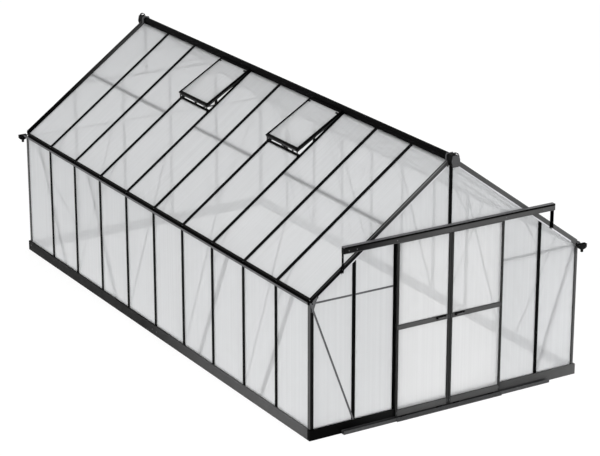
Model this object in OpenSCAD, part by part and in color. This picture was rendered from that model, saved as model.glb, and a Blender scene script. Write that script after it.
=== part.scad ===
// Walk-in greenhouse: a black profile frame on a base ring, glazed with clear twin-wall sheets.
// Two leaves slide apart on a rail across the door gable, which faces -Y.
// The origin is on the ground, at the middle of the base ring. Heights are measured from the ground.

/* [Overall size] */
// Distance from stud to stud along the side walls
bay = 600; // [480:10:750]
// Number of bays along each side wall
bays = 10; // [8:2:12]
// Width across the base ring
width = 3050; // [2500:10:3700]
// Height of the roof surface above the outer edge of the base ring
eave_h = 1352; // [1200:1:1650]
// Slope of the roof, in degrees
pitch = 36; // [32:1:40]

/* [Base ring] */
// Height of the base channels
base_h = 105; // [80:1:140]
// How far the base stands out in front of the walls
base_step = 16; // [8:1:30]
// Thickness of the base channel's steel
base_t = 3; // [2:0.5:4]
// Height of the lips along the channel's open side
base_lip = 18; // [10:1:25]

/* [Glazing bars] */
// Width of the bar's outer cap and of the flange behind the sheet
cap_w = 34; // [18:1:40]
// Thickness of the cap and of the flange
cap_t = 3; // [2:0.5:4]
// Thickness of the bar's web
web_t = 4; // [2:0.5:8]
// Width of the bead on the bar's inner edge
root_w = 12; // [8:1:16]
// Depth of the whole bar
bar_d = 25; // [20:1:36]
// Thickness of the twin-wall sheets
sheet_t = 6; // [4:1:10]
// Space between a sheet's edge and the web beside it
sheet_gap = 1; // [0.5:0.5:3]

/* [Corners and gables] */
// Width of a corner post's leg on the side wall and of a gable rafter's cap
post_w = 40; // [34:1:60]
// Width of a corner post's leg on the gable
post_front_w = 30; // [26:1:50]
// Width of the solid core in a post or rafter
post_core = 18; // [14:1:24]
// Depth of a gable rafter's face
rafter_d = 34; // [33:1:60]
// How far a rafter's face stands up past the roof
rafter_rise = 21; // [5:1:30]
// Depth of the slot in a rafter's lower edge, where the gable sheets' tops sit
rafter_slot = 4; // [3:0.5:12]
// Distance of the door gable's studs from the middle
front_stud_x = 1044; // [900:1:1150]
// Distance of the far gable's inner studs from the middle
back_inner_x = 300; // [250:5:400]
// Distance of the far gable's outer studs from the middle
back_outer_x = 900; // [860:5:1000]
// Height of the far gable's transom above the eave line
transom_rise = 498; // [450:1:560]
// Height of the far gable's transom section
transom_h = 24; // [18:1:40]

/* [Ridge and gutters] */
// Width of the ridge beam
ridge_w = 50; // [40:1:70]
// Height of the ridge beam above the line where the slopes meet
ridge_rise = 40; // [30:1:60]
// Wall of the ridge beam
ridge_t = 4; // [3:0.5:6]
// Width of a ridge end cap
ridge_cap_w = 90; // [80:1:110]
// How far a ridge end cap stands out past the gable
ridge_cap_out = 76; // [40:1:90]
// How far a ridge end cap reaches back over the ridge
ridge_cap_back = 34; // [20:1:60]
// Depth of the gutter's underside below the outer eave line
gutter_h = 22; // [16:1:60]
// How far the gutter's outer lip stands past the base ring
gutter_out = 15; // [10:1:40]
// Height of the gutter's upright lip
gutter_lip = 22; // [12:1:30]
// How far the lip's edge stands above the outer eave line
lip_rise = 8; // [0:1:12]
// Wall of the gutter and of its end pieces
gutter_t = 4; // [3:0.5:6]
// How far an outlet reaches past the gable
outlet_out = 48; // [40:1:80]
// How far an outlet stands past the gutter's lip
outlet_side = 48; // [15:1:60]
// How far an outlet's floor lies below the gutter's underside
outlet_drop = 34; // [10:1:60]
// Length of the spigot below an outlet
spigot_l = 26; // [20:1:60]
// Outer radius of the spigot
spigot_r = 14; // [12:1:20]

/* [Bracing] */
// Thickness of the flat braces
brace_t = 4; // [3:0.5:6]
// Width of the flat braces
brace_w = 18; // [12:1:24]
// How far a long strut reaches in from the wall to its roof bar
strut_reach = 444; // [300:1:560]
// How far a knee brace reaches in from the wall to its roof bar
knee_reach = 174; // [120:1:240]
// Drop from the outer eave line to a knee brace's foot
knee_drop = 192; // [150:1:320]
// Drop from the meeting line of the slopes to the collar ties
collar_drop = 177; // [140:1:260]
// Distance of the purlins from the middle
purlin_x = 690; // [620:5:760]
// Drop from the outer eave line to the ties across the gables
tie_drop = 14; // [10:1:40]

/* [Roof vents] */
// Distance of the vent sills from the middle
vent_x = 504; // [420:1:560]
// How far a vent's lower edge lies beyond the inner edge of its sill
vent_over = 44; // [40:1:80]
// How far the vents stand open, in degrees
vent_open = 5.5; // [3:0.5:8]
// Width of a vent's frame
vent_rim = 22; // [16:1:30]
// Thickness of a vent's frame
vent_t = 14; // [12:1:20]

/* [Doors] */
// Width of one door leaf with its half of the middle gap
leaf_w = 600; // [520:5:650]
// Space between the two closed leaves
leaf_gap = 5; // [5:1:8]
// Height of the leaves' upper edge above the eave line
leaf_rise = 444; // [380:1:480]
// Height of the leaves' lower edge
leaf_low = 40; // [38:1:60]
// Thickness of a leaf
leaf_t = 18; // [16:1:26]
// Running clearance in front of and behind a leaf
leaf_clear = 5; // [5:0.5:8]
// Width of a leaf's upright stiles
stile_w = 22; // [18:1:60]
// Height of a leaf's top rail
high_rail_h = 40; // [30:1:60]
// Height of a leaf's middle rail
mid_rail_h = 43; // [36:1:70]
// Height of the middle rail's centre
mid_rail_z = 930; // [780:1:1130]
// Height of a leaf's bottom rail
low_rail_h = 62; // [50:1:110]
// Distance of a handle from the middle
handle_x = 50; // [30:1:120]
// Length of the door rail from the middle to each end
rail_half = 1180; // [1175:1:1300]
// Radius of the leaves' rollers
roller_r = 14; // [10:0.5:16]

/* [Hidden] */

paint = [0.09, 0.09, 0.1];
plastic = [0.05, 0.05, 0.05];
clear_sheet = [0.88, 0.9, 0.91, 0.45];

half_w = width / 2;
half_run = bay * bays / 2;                  // from the middle to the middle of a gable's frame
base_d = base_step + bar_d;                 // the base reaches back to the bars' inner edge
flange_d = cap_t + sheet_t + cap_t;         // depth of the flange's back
gusset_t = 4;
face_x = half_w - base_step;                // outer face of the side walls
half_l = half_run + base_d - base_step;     // outer face of the base ring's ends
face_y = half_l - base_step;                // outer face of the gables
in_x = face_x - bar_d;                      // inner edge of the side walls' bars
in_y = face_y - bar_d;
core_in = cap_t + post_core;                // depth of a post's core from either face
seat_x = face_x - flange_d + cap_t;         // outer ends of the roof sheets

ridge_z = eave_h + half_w * tan(pitch);     // where the two roof surfaces would meet
ridge_top = ridge_z + ridge_rise;
ridge_shoulder = ridge_top - 18;            // where the ridge's top begins to slope in
ridge_bottom = roof_z(ridge_w / 2, bar_d + ridge_t);

gutter_z = eave_h - gutter_h;               // underside of the eave, where the walls stop
gutter_x = half_w + gutter_out;             // outer face of the gutter's lip
lip_z = eave_h + lip_rise;
trough_x = face_x + gutter_t / 2;           // the trough's floor ends at its outer side
wall_h = gutter_z - base_h;

transom_z = eave_h + transom_rise;
strut_x = in_x - strut_reach;
knee_x = in_x - knee_reach;
knee_z = eave_h - knee_drop;
leaf_top = eave_h + leaf_rise;
header_h = 45;
header_z = leaf_top - 21;                   // underside of the beam over the doors
jamb_x = leaf_w - 2;                        // a leaf covers the jamb's inner half
vent_bays = [bays / 2 - 2, bays / 2 + 1];
sill_run = 24;                              // width of a vent sill, measured level
vent_pitch = pitch - vent_open;
vent_hinge_x = ridge_w / 2;
vent_hinge_z = roof_z(vent_hinge_x, 0) + 1;
vent_foot_x = vent_x + vent_over;           // lower edge of a vent
vent_half = bay / 2 - 6;                    // a vent's sides lie on the caps of the bars beside it

leaf_back = half_l + leaf_clear;            // a leaf runs in front of the base ring
leaf_face = leaf_back + leaf_t;
leaf_panes = [                              // lower and upper edges of a leaf's two panes
    [leaf_low + low_rail_h, mid_rail_z - mid_rail_h / 2],
    [mid_rail_z + mid_rail_h / 2, leaf_top - high_rail_h]
];
rail_t = 3;
rail_face = leaf_face + leaf_clear + rail_t;
rail_z = header_z - 10;                     // underside of the door rail
rail_top = header_z + header_h;
ledge_z = rail_z + 7;                       // the rollers run on the ledge's upper side
rest_gap = 0.3;                             // space left under a roller at rest
roller_t = 9;
track_face = half_l + 45;
track_h = 35;
threshold_face = track_face + 15;

function stud_y(k) = (k - bays / 2) * bay;
// A point of the roof, by its distance from the middle and its depth under the surface
function roof_z(x, d) = eave_h + (half_w - x) * tan(pitch) - d / cos(pitch);
function roof_x(z, d) = half_w - (z + d / cos(pitch) - eave_h) / tan(pitch);
function vent_z(x, h) = vent_hinge_z - (x - vent_hinge_x) * tan(vent_pitch) + h / cos(vent_pitch);

// The cap, flange and bead of a glazing bar, each by its width and the depths where it starts and ends
BAR_PLATES = [[cap_w, 0, cap_t], [cap_w, cap_t + sheet_t, flange_d], [root_w, bar_d - cap_t, bar_d]];

// A glazing bar's section: its plates on a web that runs through them
module bar_section() {
    for (p = BAR_PLATES) translate([-p[0] / 2, p[1]]) square([p[0], p[2] - p[1]]);
    translate([-web_t / 2, 0]) square([web_t, bar_d]);
}

module both_sides() { children(); mirror([1, 0, 0]) children(); }
module both_ends() { children(); mirror([0, 1, 0]) children(); }
module opposite_corners() { children(); rotate([0, 0, 180]) children(); }

// Stands a shape drawn in X and Z upright, from y0 to y1
module upright(y0, y1) {
    translate([0, y1, 0]) rotate([90, 0, 0]) linear_extrude(y1 - y0) children();
}

// Stands a shape drawn in Y and Z upright, from x0 to x1
module sideways(x0, x1) {
    translate([x0, 0, 0]) rotate([90, 0, 90]) linear_extrude(x1 - x0) children();
}

// A straight strip from p to q
module strip(p, q, w) {
    translate(p) rotate(atan2(q[1] - p[1], q[0] - p[0])) translate([0, -w / 2]) square([norm(q - p), w]);
}

// A layer of the roof between two distances from the middle and two depths, cut off upright
module slope_slab(x0, x1, d0, d1, y0, y1) {
    upright(y0, y1) polygon([
        [x0, roof_z(x0, d0)], [x1, roof_z(x1, d0)], [x1, roof_z(x1, d1)], [x0, roof_z(x0, d1)]
    ]);
}

module vent_slab(x0, x1, h0, h1, half_y) {
    upright(-half_y, half_y) polygon([
        [x0, vent_z(x0, h0)], [x1, vent_z(x1, h0)], [x1, vent_z(x1, h1)], [x0, vent_z(x0, h1)]
    ]);
}

// The gable's outline under the roof at a depth, below the ridge beam
module gable_area(d) {
    intersection() {
        polygon([
            [-in_x, base_h], [in_x, base_h], [in_x, roof_z(in_x, d)],
            [0, roof_z(0, d)], [-in_x, roof_z(in_x, d)]
        ]);
        translate([-in_x, base_h]) square([2 * in_x, ridge_bottom - base_h]);
    }
}

// ---- Base ring ----

module base_channel(outer) {
    for (z = [0, base_h - base_t]) translate([outer - base_d, z]) square([base_d, base_t]);
    translate([outer - base_t, 0]) square([base_t, base_h]);
    for (z = [0, base_h - base_lip]) translate([outer - base_d, z]) square([base_t, base_lip]);
}

module side_bases() {
    joint = 0.5;
    color(paint) both_sides() both_ends()
        upright(joint, half_l - base_d) base_channel(half_w);
}

module end_bases() {
    color(paint) both_ends() {
        sideways(-half_w, half_w) base_channel(half_l);
        both_sides() translate([half_w - base_t, half_l - base_d, 0]) cube([base_t, base_d, base_h]);
    }
}

module base_splices() {
    plate_l = 180;
    margin = 10;
    color(paint) both_sides()
        translate([half_w - 2 * base_t, -plate_l / 2, margin]) cube([base_t, plate_l, base_h - 2 * margin]);
}

// ---- Posts, studs and gable frames ----

module corner_posts() {
    color(paint) both_sides() both_ends()
        translate([face_x, face_y, base_h]) rotate([0, 0, 180]) linear_extrude(wall_h) {
            square([post_front_w, cap_t]);
            square([cap_t, post_w]);
            square([core_in, core_in]);
            translate([0, cap_t + sheet_t]) square([post_front_w, cap_t]);
            translate([cap_t + sheet_t, 0]) square([cap_t, post_w]);
        }
}

module wall_studs() {
    color(paint) both_sides() for (k = [1:bays - 1])
        translate([face_x, stud_y(k), base_h]) rotate([0, 0, 90])
            linear_extrude(wall_h) bar_section();
}

// A gable bar from z0 up to z1, or up to the rafter where that is lower
module gable_bar(x, z0, z1) {
    intersection() {
        translate([x, face_y, z0]) rotate([0, 0, 180]) linear_extrude(z1 - z0) bar_section();
        upright(face_y - bar_d - 1, face_y + 1) gable_area(rafter_d);
    }
}

// The short bar in the middle, from a gable rail up to the ridge beam between the rafters
module centre_bar(z0) {
    translate([0, face_y, z0]) rotate([0, 0, 180]) linear_extrude(ridge_bottom - z0) bar_section();
}

module gable_studs() {
    rail_low = transom_z - transom_h / 2;
    color(paint) {
        mirror([0, 1, 0]) {
            both_sides() gable_bar(front_stud_x, base_h, header_z);
            centre_bar(header_z + header_h);
        }
        both_sides() for (x = [back_inner_x, back_outer_x]) gable_bar(x, base_h, rail_low);
        centre_bar(rail_low + transom_h);
    }
}

module door_jambs() {
    color(paint) mirror([0, 1, 0]) both_sides() gable_bar(jamb_x, base_h, header_z);
}

module gable_rail(z, h) {
    upright(face_y - core_in, face_y) intersection() {
        gable_area(rafter_d);
        translate([-in_x, z]) square([2 * in_x, h]);
    }
}

module gable_rails() {
    color(paint) {
        mirror([0, 1, 0]) gable_rail(header_z, header_h);
        gable_rail(transom_z - transom_h / 2, transom_h);
    }
}

module gable_rafters() {
    top_x = ridge_w / 2;
    core_d = rafter_d - rafter_slot;
    color(paint) both_sides() both_ends() {
        slope_slab(top_x, seat_x, 0, cap_t, face_y - post_w, face_y);
        slope_slab(top_x, in_x, 0, rafter_d, face_y - cap_t, face_y);
        slope_slab(top_x, in_x, 0, core_d, face_y - core_in, face_y);
        slope_slab(top_x, seat_x, cap_t + sheet_t, flange_d, face_y - post_w, face_y - flange_d);
        slope_slab(top_x, in_x, 0, rafter_d, face_y - flange_d, face_y - cap_t - sheet_t);
        slope_slab(ridge_cap_w / 2, seat_x, -rafter_rise, cap_t / 2, face_y - cap_t, face_y);
    }
}

// ---- Gutters and ridge ----

// The eave beam stands on the walls, leans out over the trough, and carries the roof's lower ends
module eave_beams() {
    foot_x = in_x + gutter_t;
    color(paint) both_sides() upright(-face_y, face_y) polygon([
        [in_x, gutter_z], [foot_x, gutter_z], [foot_x, gutter_z + gutter_t],
        [seat_x, roof_z(seat_x, flange_d + gutter_t)], [seat_x, roof_z(seat_x, flange_d)],
        [in_x, roof_z(in_x, flange_d)]
    ]);
}

// The trough's floor lies on the walls' tops, between the eave beam and the outer side
module gutter_floors() {
    foot_x = in_x + gutter_t;
    color(paint) both_sides() upright(-face_y, face_y)
        translate([foot_x, gutter_z]) square([trough_x - foot_x, gutter_t]);
}

// The trough's outer side leans out from the floor to an upright lip
module gutter_sides() {
    color(paint) both_sides() upright(-face_y, face_y) polygon([
        [trough_x, gutter_z], [face_x + gutter_t, gutter_z], [gutter_x, lip_z - gutter_lip],
        [gutter_x, lip_z], [gutter_x - gutter_t, lip_z], [trough_x, gutter_z + gutter_t]
    ]);
}

// Closed ends stand at the door gable's left and the far gable's right
module gutter_end_caps() {
    color(plastic) opposite_corners() upright(face_y, face_y + gutter_t) polygon([
        [in_x, gutter_z], [face_x + gutter_t, gutter_z], [gutter_x, lip_z - gutter_lip], [gutter_x, lip_z],
        [seat_x, lip_z], [in_x, roof_z(in_x, flange_d)]
    ]);
}

// Outlets stand at the door gable's right and the far gable's left. Each is an open hopper that the
// trough runs into, with a spigot under it.
module gutter_outlets() {
    x0 = seat_x - gutter_t;
    x1 = gutter_x + outlet_side;
    floor_z = gutter_z - outlet_drop;
    mid = [(x0 + x1) / 2, face_y + outlet_out / 2];
    over = 1;
    color(plastic) opposite_corners() mirror([0, 1, 0]) difference() {
        union() {
            translate([x0, face_y, floor_z]) cube([x1 - x0, outlet_out, eave_h - floor_z]);
            translate([mid[0], mid[1], floor_z - spigot_l])
                cylinder(r = spigot_r, h = spigot_l + gutter_t / 2, $fn = 48);
        }
        translate([x0 + gutter_t, face_y + gutter_t, floor_z + gutter_t])
            cube([x1 - x0 - 2 * gutter_t, outlet_out - 2 * gutter_t, eave_h - floor_z]);
        translate([seat_x, face_y - over, gutter_z + gutter_t])
            cube([gutter_x - gutter_t - seat_x, gutter_t + 2 * over, gutter_h]);
        translate([mid[0], mid[1], floor_z - spigot_l - over])
            cylinder(r = spigot_r - gutter_t, h = spigot_l + gutter_t + 2 * over, $fn = 48);
    }
}

// The ridge's outline, drawn in by an amount on every side
module ridge_outline(i) {
    w = ridge_w / 2 - i;
    top_w = ridge_w * 0.3 - i / 2;
    polygon([
        [-w, ridge_bottom + i], [w, ridge_bottom + i], [w, ridge_shoulder - i / 2],
        [top_w, ridge_top - i], [-top_w, ridge_top - i], [-w, ridge_shoulder - i / 2]
    ]);
}

module ridge_beam() {
    color(paint) upright(-face_y, face_y) difference() {
        ridge_outline(0);
        ridge_outline(ridge_t);
    }
}

module ridge_end_caps() {
    half = ridge_cap_w / 2;
    corner = [17, 25];
    low = ridge_bottom - 12;
    high = ridge_top + 30;
    module plate() {
        polygon([
            [-half + corner[0], low], [half - corner[0], low], [half, low + corner[1]],
            [half, high - corner[1]], [half - corner[0], high],
            [-half + corner[0], high], [-half, high - corner[1]], [-half, low + corner[1]]
        ]);
    }
    color(plastic) both_ends() {
        upright(face_y, face_y + ridge_cap_out) plate();
        upright(face_y - ridge_cap_back, face_y) difference() {
            plate();
            ridge_outline(0);
            polygon([[-half_w, 0], [half_w, 0], [half_w, eave_h], [0, ridge_z], [-half_w, eave_h]]);
        }
    }
}

// ---- Roof bars and bracing ----

// A roof bar's plates and web reach the sheets' ends, and what lies deeper stops at the eave beam
module roof_bars() {
    top_x = ridge_w / 2;
    color(paint) both_sides() for (k = [1:bays - 1]) translate([0, stud_y(k), 0]) {
        for (p = BAR_PLATES)
            slope_slab(top_x, p[2] > flange_d ? in_x : seat_x, p[1], p[2], -p[0] / 2, p[0] / 2);
        slope_slab(top_x, seat_x, 0, flange_d, -web_t / 2, web_t / 2);
        slope_slab(top_x, in_x, 0, bar_d, -web_t / 2, web_t / 2);
    }
}

// Purlins lie under the bars and stop at the vent bays
module roof_purlins() {
    run = 20;
    gable = face_y - core_in;
    lap = root_w / 2;
    spans = [
        [-gable, stud_y(vent_bays[0]) + lap],
        [stud_y(vent_bays[0] + 1) - lap, stud_y(vent_bays[1]) + lap],
        [stud_y(vent_bays[1] + 1) - lap, gable]
    ];
    color(paint) both_sides() for (s = spans)
        slope_slab(purlin_x - run / 2, purlin_x + run / 2, bar_d, bar_d + brace_t, s[0], s[1]);
}

// A flat brace lies against the side of stud k's bead, drawn in X and Z
module beside_stud(k) {
    upright(stud_y(k) + root_w / 2, stud_y(k) + root_w / 2 + brace_t) children();
}

module collar_ties() {
    z = ridge_z - collar_drop;
    half = roof_x(z + brace_w / 2, flange_d + cap_t);
    color(paint) for (k = [1:bays - 1])
        beside_stud(k) translate([-half, z - brace_w / 2]) square([2 * half, brace_w]);
}

// Long struts stand at every second stud, and short knees at the others
module frame_struts() {
    foot_x = in_x + 1.5;
    foot_z = base_h + 13;
    color(paint) both_sides() for (k = [1:bays - 1]) beside_stud(k)
        if (k % 2 == 0) strip([foot_x, foot_z], [strut_x, roof_z(strut_x, bar_d - 1)], brace_w);
        else strip([foot_x, knee_z], [knee_x, roof_z(knee_x, bar_d - 1)], brace_w);
}

module side_wall_braces() {
    top = gutter_z + 12;
    low = base_h - 8;
    color(paint) both_sides() for (k = [1, 3, bays - 3, bays - 1]) {
        lean = k < bays / 2 ? -bay / 2 : bay / 2;
        sideways(in_x - brace_t, in_x)
            strip([stud_y(k) + lean, top], [stud_y(k) - lean, low], brace_w);
    }
}

// At two opposite corners the gable's brace lies outside, over the gusset. At the other two it lies
// inside, against the studs' beads, as the far gable's tie does.
module gable_bracing() {
    tie_low = eave_h - tie_drop - brace_w / 2;
    inner = in_y - brace_t;
    outer = face_y + gusset_t;
    top = [in_x - 10, gutter_z - 5];
    low = base_h - 8;
    module outer_brace(foot_x) {
        upright(outer, outer + brace_t) intersection() {
            strip([face_x + 2, eave_h - 4], [foot_x, low], brace_w);
            translate([0, base_h]) square([half_w, eave_h]);
        }
    }
    color(paint) {
        mirror([0, 1, 0]) {
            upright(inner, in_y) {
                translate([jamb_x - root_w / 2, tie_low]) square([in_x - jamb_x + root_w / 2, brace_w]);
                strip(top, [front_stud_x + 16, low], brace_w);
            }
            mirror([1, 0, 0]) {
                outer_brace(front_stud_x);
                for (x = [[jamb_x, front_stud_x - cap_w / 2], [front_stud_x, face_x - post_front_w]])
                    upright(face_y - cap_t, face_y) intersection() {
                        gable_area(rafter_d);
                        translate([x[0] + cap_w / 2, tie_low]) square([x[1] - x[0] - cap_w / 2, brace_w]);
                    }
            }
        }
        upright(inner, in_y) {
            translate([-in_x, tie_low]) square([2 * in_x, brace_w]);
            mirror([1, 0, 0]) strip(top, [back_outer_x, low], brace_w);
        }
        outer_brace(back_outer_x);
    }
}

// A plate over the corner where post, rafter and gutter meet, out to x0 and up to a depth in the rafter
module gusset(x0, inset) {
    reach = 47;
    drop = 74;
    polygon([
        [x0, gutter_z - drop], [x0, gutter_z], [in_x, gutter_z],
        [in_x, roof_z(in_x, inset)], [in_x - reach, roof_z(in_x - reach, inset)],
        [in_x - reach, roof_z(in_x - reach, rafter_d - 6)], [face_x - post_front_w + 2, gutter_z - drop]
    ]);
}

// Two gussets lie outside, and two inside, against the cores of post and rafter
module eave_gussets() {
    core_y = face_y - core_in;
    color(paint) opposite_corners() {
        upright(face_y, face_y + gusset_t) gusset(face_x - 2, 6);
        mirror([1, 0, 0]) upright(core_y - gusset_t, core_y) gusset(face_x - flange_d, flange_d);
    }
}

// ---- Sheets ----

// Ends of bay b's sheet along the building
function sheet_y0(b) = b == 0 ? -face_y + core_in + sheet_gap : stud_y(b) + web_t / 2 + sheet_gap;
function sheet_y1(b) = -sheet_y0(bays - 1 - b);

module wall_sheets() {
    for (b = [0:bays - 1])
        translate([face_x - cap_t - sheet_t, sheet_y0(b), base_h])
            cube([sheet_t, sheet_y1(b) - sheet_y0(b), wall_h]);
}

module right_wall_sheets() { color(clear_sheet) wall_sheets(); }
module left_wall_sheets() { color(clear_sheet) mirror([1, 0, 0]) wall_sheets(); }

function is_vent_bay(b) = b == vent_bays[0] || b == vent_bays[1];

module roof_sheets() {
    for (b = [0:bays - 1])
        slope_slab(is_vent_bay(b) ? vent_x + sill_run : ridge_w / 2, seat_x,
                   cap_t, cap_t + sheet_t, sheet_y0(b), sheet_y1(b));
}

module right_roof_sheets() { color(clear_sheet) roof_sheets(); }
module left_roof_sheets() { color(clear_sheet) mirror([1, 0, 0]) roof_sheets(); }

// One gable sheet between x0 and x1, cut to the slope inside the rafter's slot
module gable_sheet(x0, x1, z0, z1) {
    upright(face_y - cap_t - sheet_t, face_y - cap_t) intersection() {
        gable_area(rafter_d - rafter_slot + sheet_gap);
        translate([x0, z0]) square([x1 - x0, z1 - z0]);
    }
}

module front_gable_sheets() {
    edge = web_t / 2 + sheet_gap;
    color(clear_sheet) mirror([0, 1, 0]) both_sides() {
        gable_sheet(front_stud_x + edge, in_x, base_h, header_z);
        gable_sheet(jamb_x + edge, front_stud_x - edge, base_h, header_z);
        gable_sheet(edge, in_x, header_z + header_h, ridge_bottom);
    }
}

module back_gable_sheets() {
    edge = web_t / 2 + sheet_gap;
    rail_low = transom_z - transom_h / 2;
    color(clear_sheet) {
        gable_sheet(-back_inner_x + edge, back_inner_x - edge, base_h, rail_low);
        both_sides() {
            gable_sheet(back_inner_x + edge, back_outer_x - edge, base_h, rail_low);
            gable_sheet(back_outer_x + edge, in_x, base_h, rail_low);
            gable_sheet(edge, in_x, rail_low + transom_h, ridge_bottom);
        }
    }
}

// ---- Roof vents ----

module each_vent() {
    both_sides() for (b = vent_bays) translate([0, stud_y(b) + bay / 2, 0]) children();
}

module vent_frames() {
    rim = vent_rim * cos(vent_pitch);
    color(paint) each_vent() difference() {
        vent_slab(vent_hinge_x, vent_foot_x, 0, vent_t, vent_half);
        vent_slab(vent_hinge_x + rim, vent_foot_x - rim, -1, vent_t + 1, vent_half - vent_rim);
    }
}

module vent_sheets() {
    rim = vent_rim * cos(vent_pitch);
    low = (vent_t - sheet_t) / 2;
    color(clear_sheet) each_vent()
        vent_slab(vent_hinge_x + rim, vent_foot_x - rim, low, low + sheet_t, vent_half - vent_rim);
}

module vent_sills() {
    half = bay / 2 - cap_w / 2;
    color(paint) each_vent() slope_slab(vent_x, vent_x + sill_run, -cap_t, flange_d, -half, half);
}

// A stay leans out from each vent's sill to the lower edge of its frame
module vent_stays() {
    foot = [vent_x + 2, vent_x + sill_run - 2];
    head = [vent_foot_x - 16, vent_foot_x - 2];
    color(plastic) each_vent() upright(-brace_t / 2, brace_t / 2) polygon([
        [foot[0], roof_z(foot[0], -cap_t)], [foot[1], roof_z(foot[1], -cap_t)],
        [head[1], vent_z(head[1], 0)], [head[0], vent_z(head[0], 0)]
    ]);
}

// ---- Door rail, track and leaves ----

module door_rail() {
    ledge_w = leaf_back - leaf_clear - face_y - rail_t;
    color(paint) mirror([0, 1, 0]) {
        sideways(-rail_half, rail_half) {
            translate([face_y, rail_z]) square([rail_t, rail_top - rail_z]);
            translate([face_y, rail_top - rail_t]) square([rail_face - face_y, rail_t]);
            translate([rail_face - rail_t, rail_z]) square([rail_t, rail_top - rail_z]);
            translate([face_y + rail_t, ledge_z - rail_t]) square([ledge_w, rail_t]);
        }
        both_sides() sideways(rail_half - rail_t, rail_half)
            translate([face_y, rail_z]) square([rail_face - face_y, rail_top - rail_z]);
    }
}

// Angles from the rail's ends down over the rafters
module rail_brackets() {
    side = 20;
    depth = 31;
    lap = 25;
    foot = min(roof_z(rail_half, 0), rail_z) - lap;
    color(plastic) mirror([0, 1, 0]) both_sides() translate([0, 0, foot]) linear_extrude(rail_z - foot) {
        translate([rail_half - side, face_y]) square([side, rail_t]);
        translate([rail_half - rail_t, face_y]) square([rail_t, depth]);
    }
}

module door_track() {
    color(paint) mirror([0, 1, 0]) sideways(-rail_half, rail_half) {
        translate([half_l, 0]) square([track_face - half_l, rail_t]);
        for (y = [half_l, track_face - rail_t]) translate([y, 0]) square([rail_t, track_h]);
    }
}

module threshold() {
    color(paint) mirror([0, 1, 0]) sideways(-leaf_w, leaf_w) polygon([
        [track_face, 0], [threshold_face, 0], [threshold_face, rail_t], [track_face, track_h - 5]
    ]);
}

module leaf_frame() {
    x0 = leaf_gap / 2;
    inner = leaf_w - x0 - 2 * stile_w;
    color(paint) difference() {
        translate([x0, -leaf_face, leaf_low]) cube([leaf_w - x0, leaf_t, leaf_top - leaf_low]);
        for (z = leaf_panes)
            translate([x0 + stile_w, -leaf_face - 1, z[0]]) cube([inner, leaf_t + 2, z[1] - z[0]]);
    }
}

module leaf_sheets() {
    x0 = leaf_gap / 2;
    inner = leaf_w - x0 - 2 * stile_w;
    color(clear_sheet) for (z = leaf_panes)
        translate([x0 + stile_w, -leaf_face + (leaf_t - sheet_t) / 2, z[0]])
            cube([inner, sheet_t, z[1] - z[0]]);
}

// A pull loop that stands level on the middle rail
module leaf_handle() {
    length = 110;
    height = 12;
    reach = 35;
    bar = 10;
    low = mid_rail_z + 4;
    color(plastic) difference() {
        translate([handle_x, -leaf_face - reach, low]) cube([length, reach, height]);
        translate([handle_x + bar, -leaf_face - reach + bar, low - 1])
            cube([length - 2 * bar, reach, height + 2]);
    }
}

// Two rollers hang the leaf on the rail's ledge, and two fins guide it in the track
module leaf_rollers() {
    at = [leaf_w / 6, leaf_w * 5 / 6];
    back = leaf_back - leaf_clear - 1;
    fin = [60, sheet_t, leaf_low - 12];
    color(plastic) for (x = at) {
        translate([x, -back + roller_t, ledge_z + rest_gap + roller_r]) rotate([90, 0, 0]) {
            cylinder(r = roller_r, h = roller_t, $fn = 48);
            translate([0, 0, roller_t]) cylinder(r = 4, h = leaf_clear + 1, $fn = 32);
        }
        translate([x - fin[0] / 2, -leaf_face + (leaf_t - fin[1]) / 2, leaf_low - fin[2]]) cube(fin);
    }
}

module right_door_frame() { leaf_frame(); }
module right_door_sheets() { leaf_sheets(); }
module right_door_handle() { leaf_handle(); }
module right_door_rollers() { leaf_rollers(); }
module left_door_frame() { mirror([1, 0, 0]) leaf_frame(); }
module left_door_sheets() { mirror([1, 0, 0]) leaf_sheets(); }
module left_door_handle() { mirror([1, 0, 0]) leaf_handle(); }
module left_door_rollers() { mirror([1, 0, 0]) leaf_rollers(); }

side_bases();
end_bases();
base_splices();
corner_posts();
wall_studs();
gable_studs();
door_jambs();
gable_rails();
gable_rafters();
eave_beams();
gutter_floors();
gutter_sides();
gutter_outlets();
gutter_end_caps();
ridge_beam();
ridge_end_caps();
roof_bars();
roof_purlins();
collar_ties();
frame_struts();
side_wall_braces();
gable_bracing();
eave_gussets();
left_wall_sheets();
right_wall_sheets();
left_roof_sheets();
right_roof_sheets();
front_gable_sheets();
back_gable_sheets();
vent_frames();
vent_sheets();
vent_sills();
vent_stays();
door_rail();
rail_brackets();
door_track();
threshold();
left_door_frame();
left_door_sheets();
left_door_handle();
left_door_rollers();
right_door_frame();
right_door_sheets();
right_door_handle();
right_door_rollers();
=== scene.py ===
# %% [markdown]
# # A walk-in greenhouse
# Black powder-coated aluminium bars hold clear twin-wall sheets. The building's bars, sheets and
# doors arrive ready measured. This lesson gives them their finishes, and then adds the small
# pieces that make a frame believable: seals, screws, hinges, rollers, brushes and grips.
#
# Working this way keeps most dimensions in one place. Wherever it can be, a new piece is placed
# from the box of the part that it belongs to, so it still fits when that part moves. The few sizes
# that no box gives are named in the cell that uses them.

# %% Load the building
import math

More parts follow.
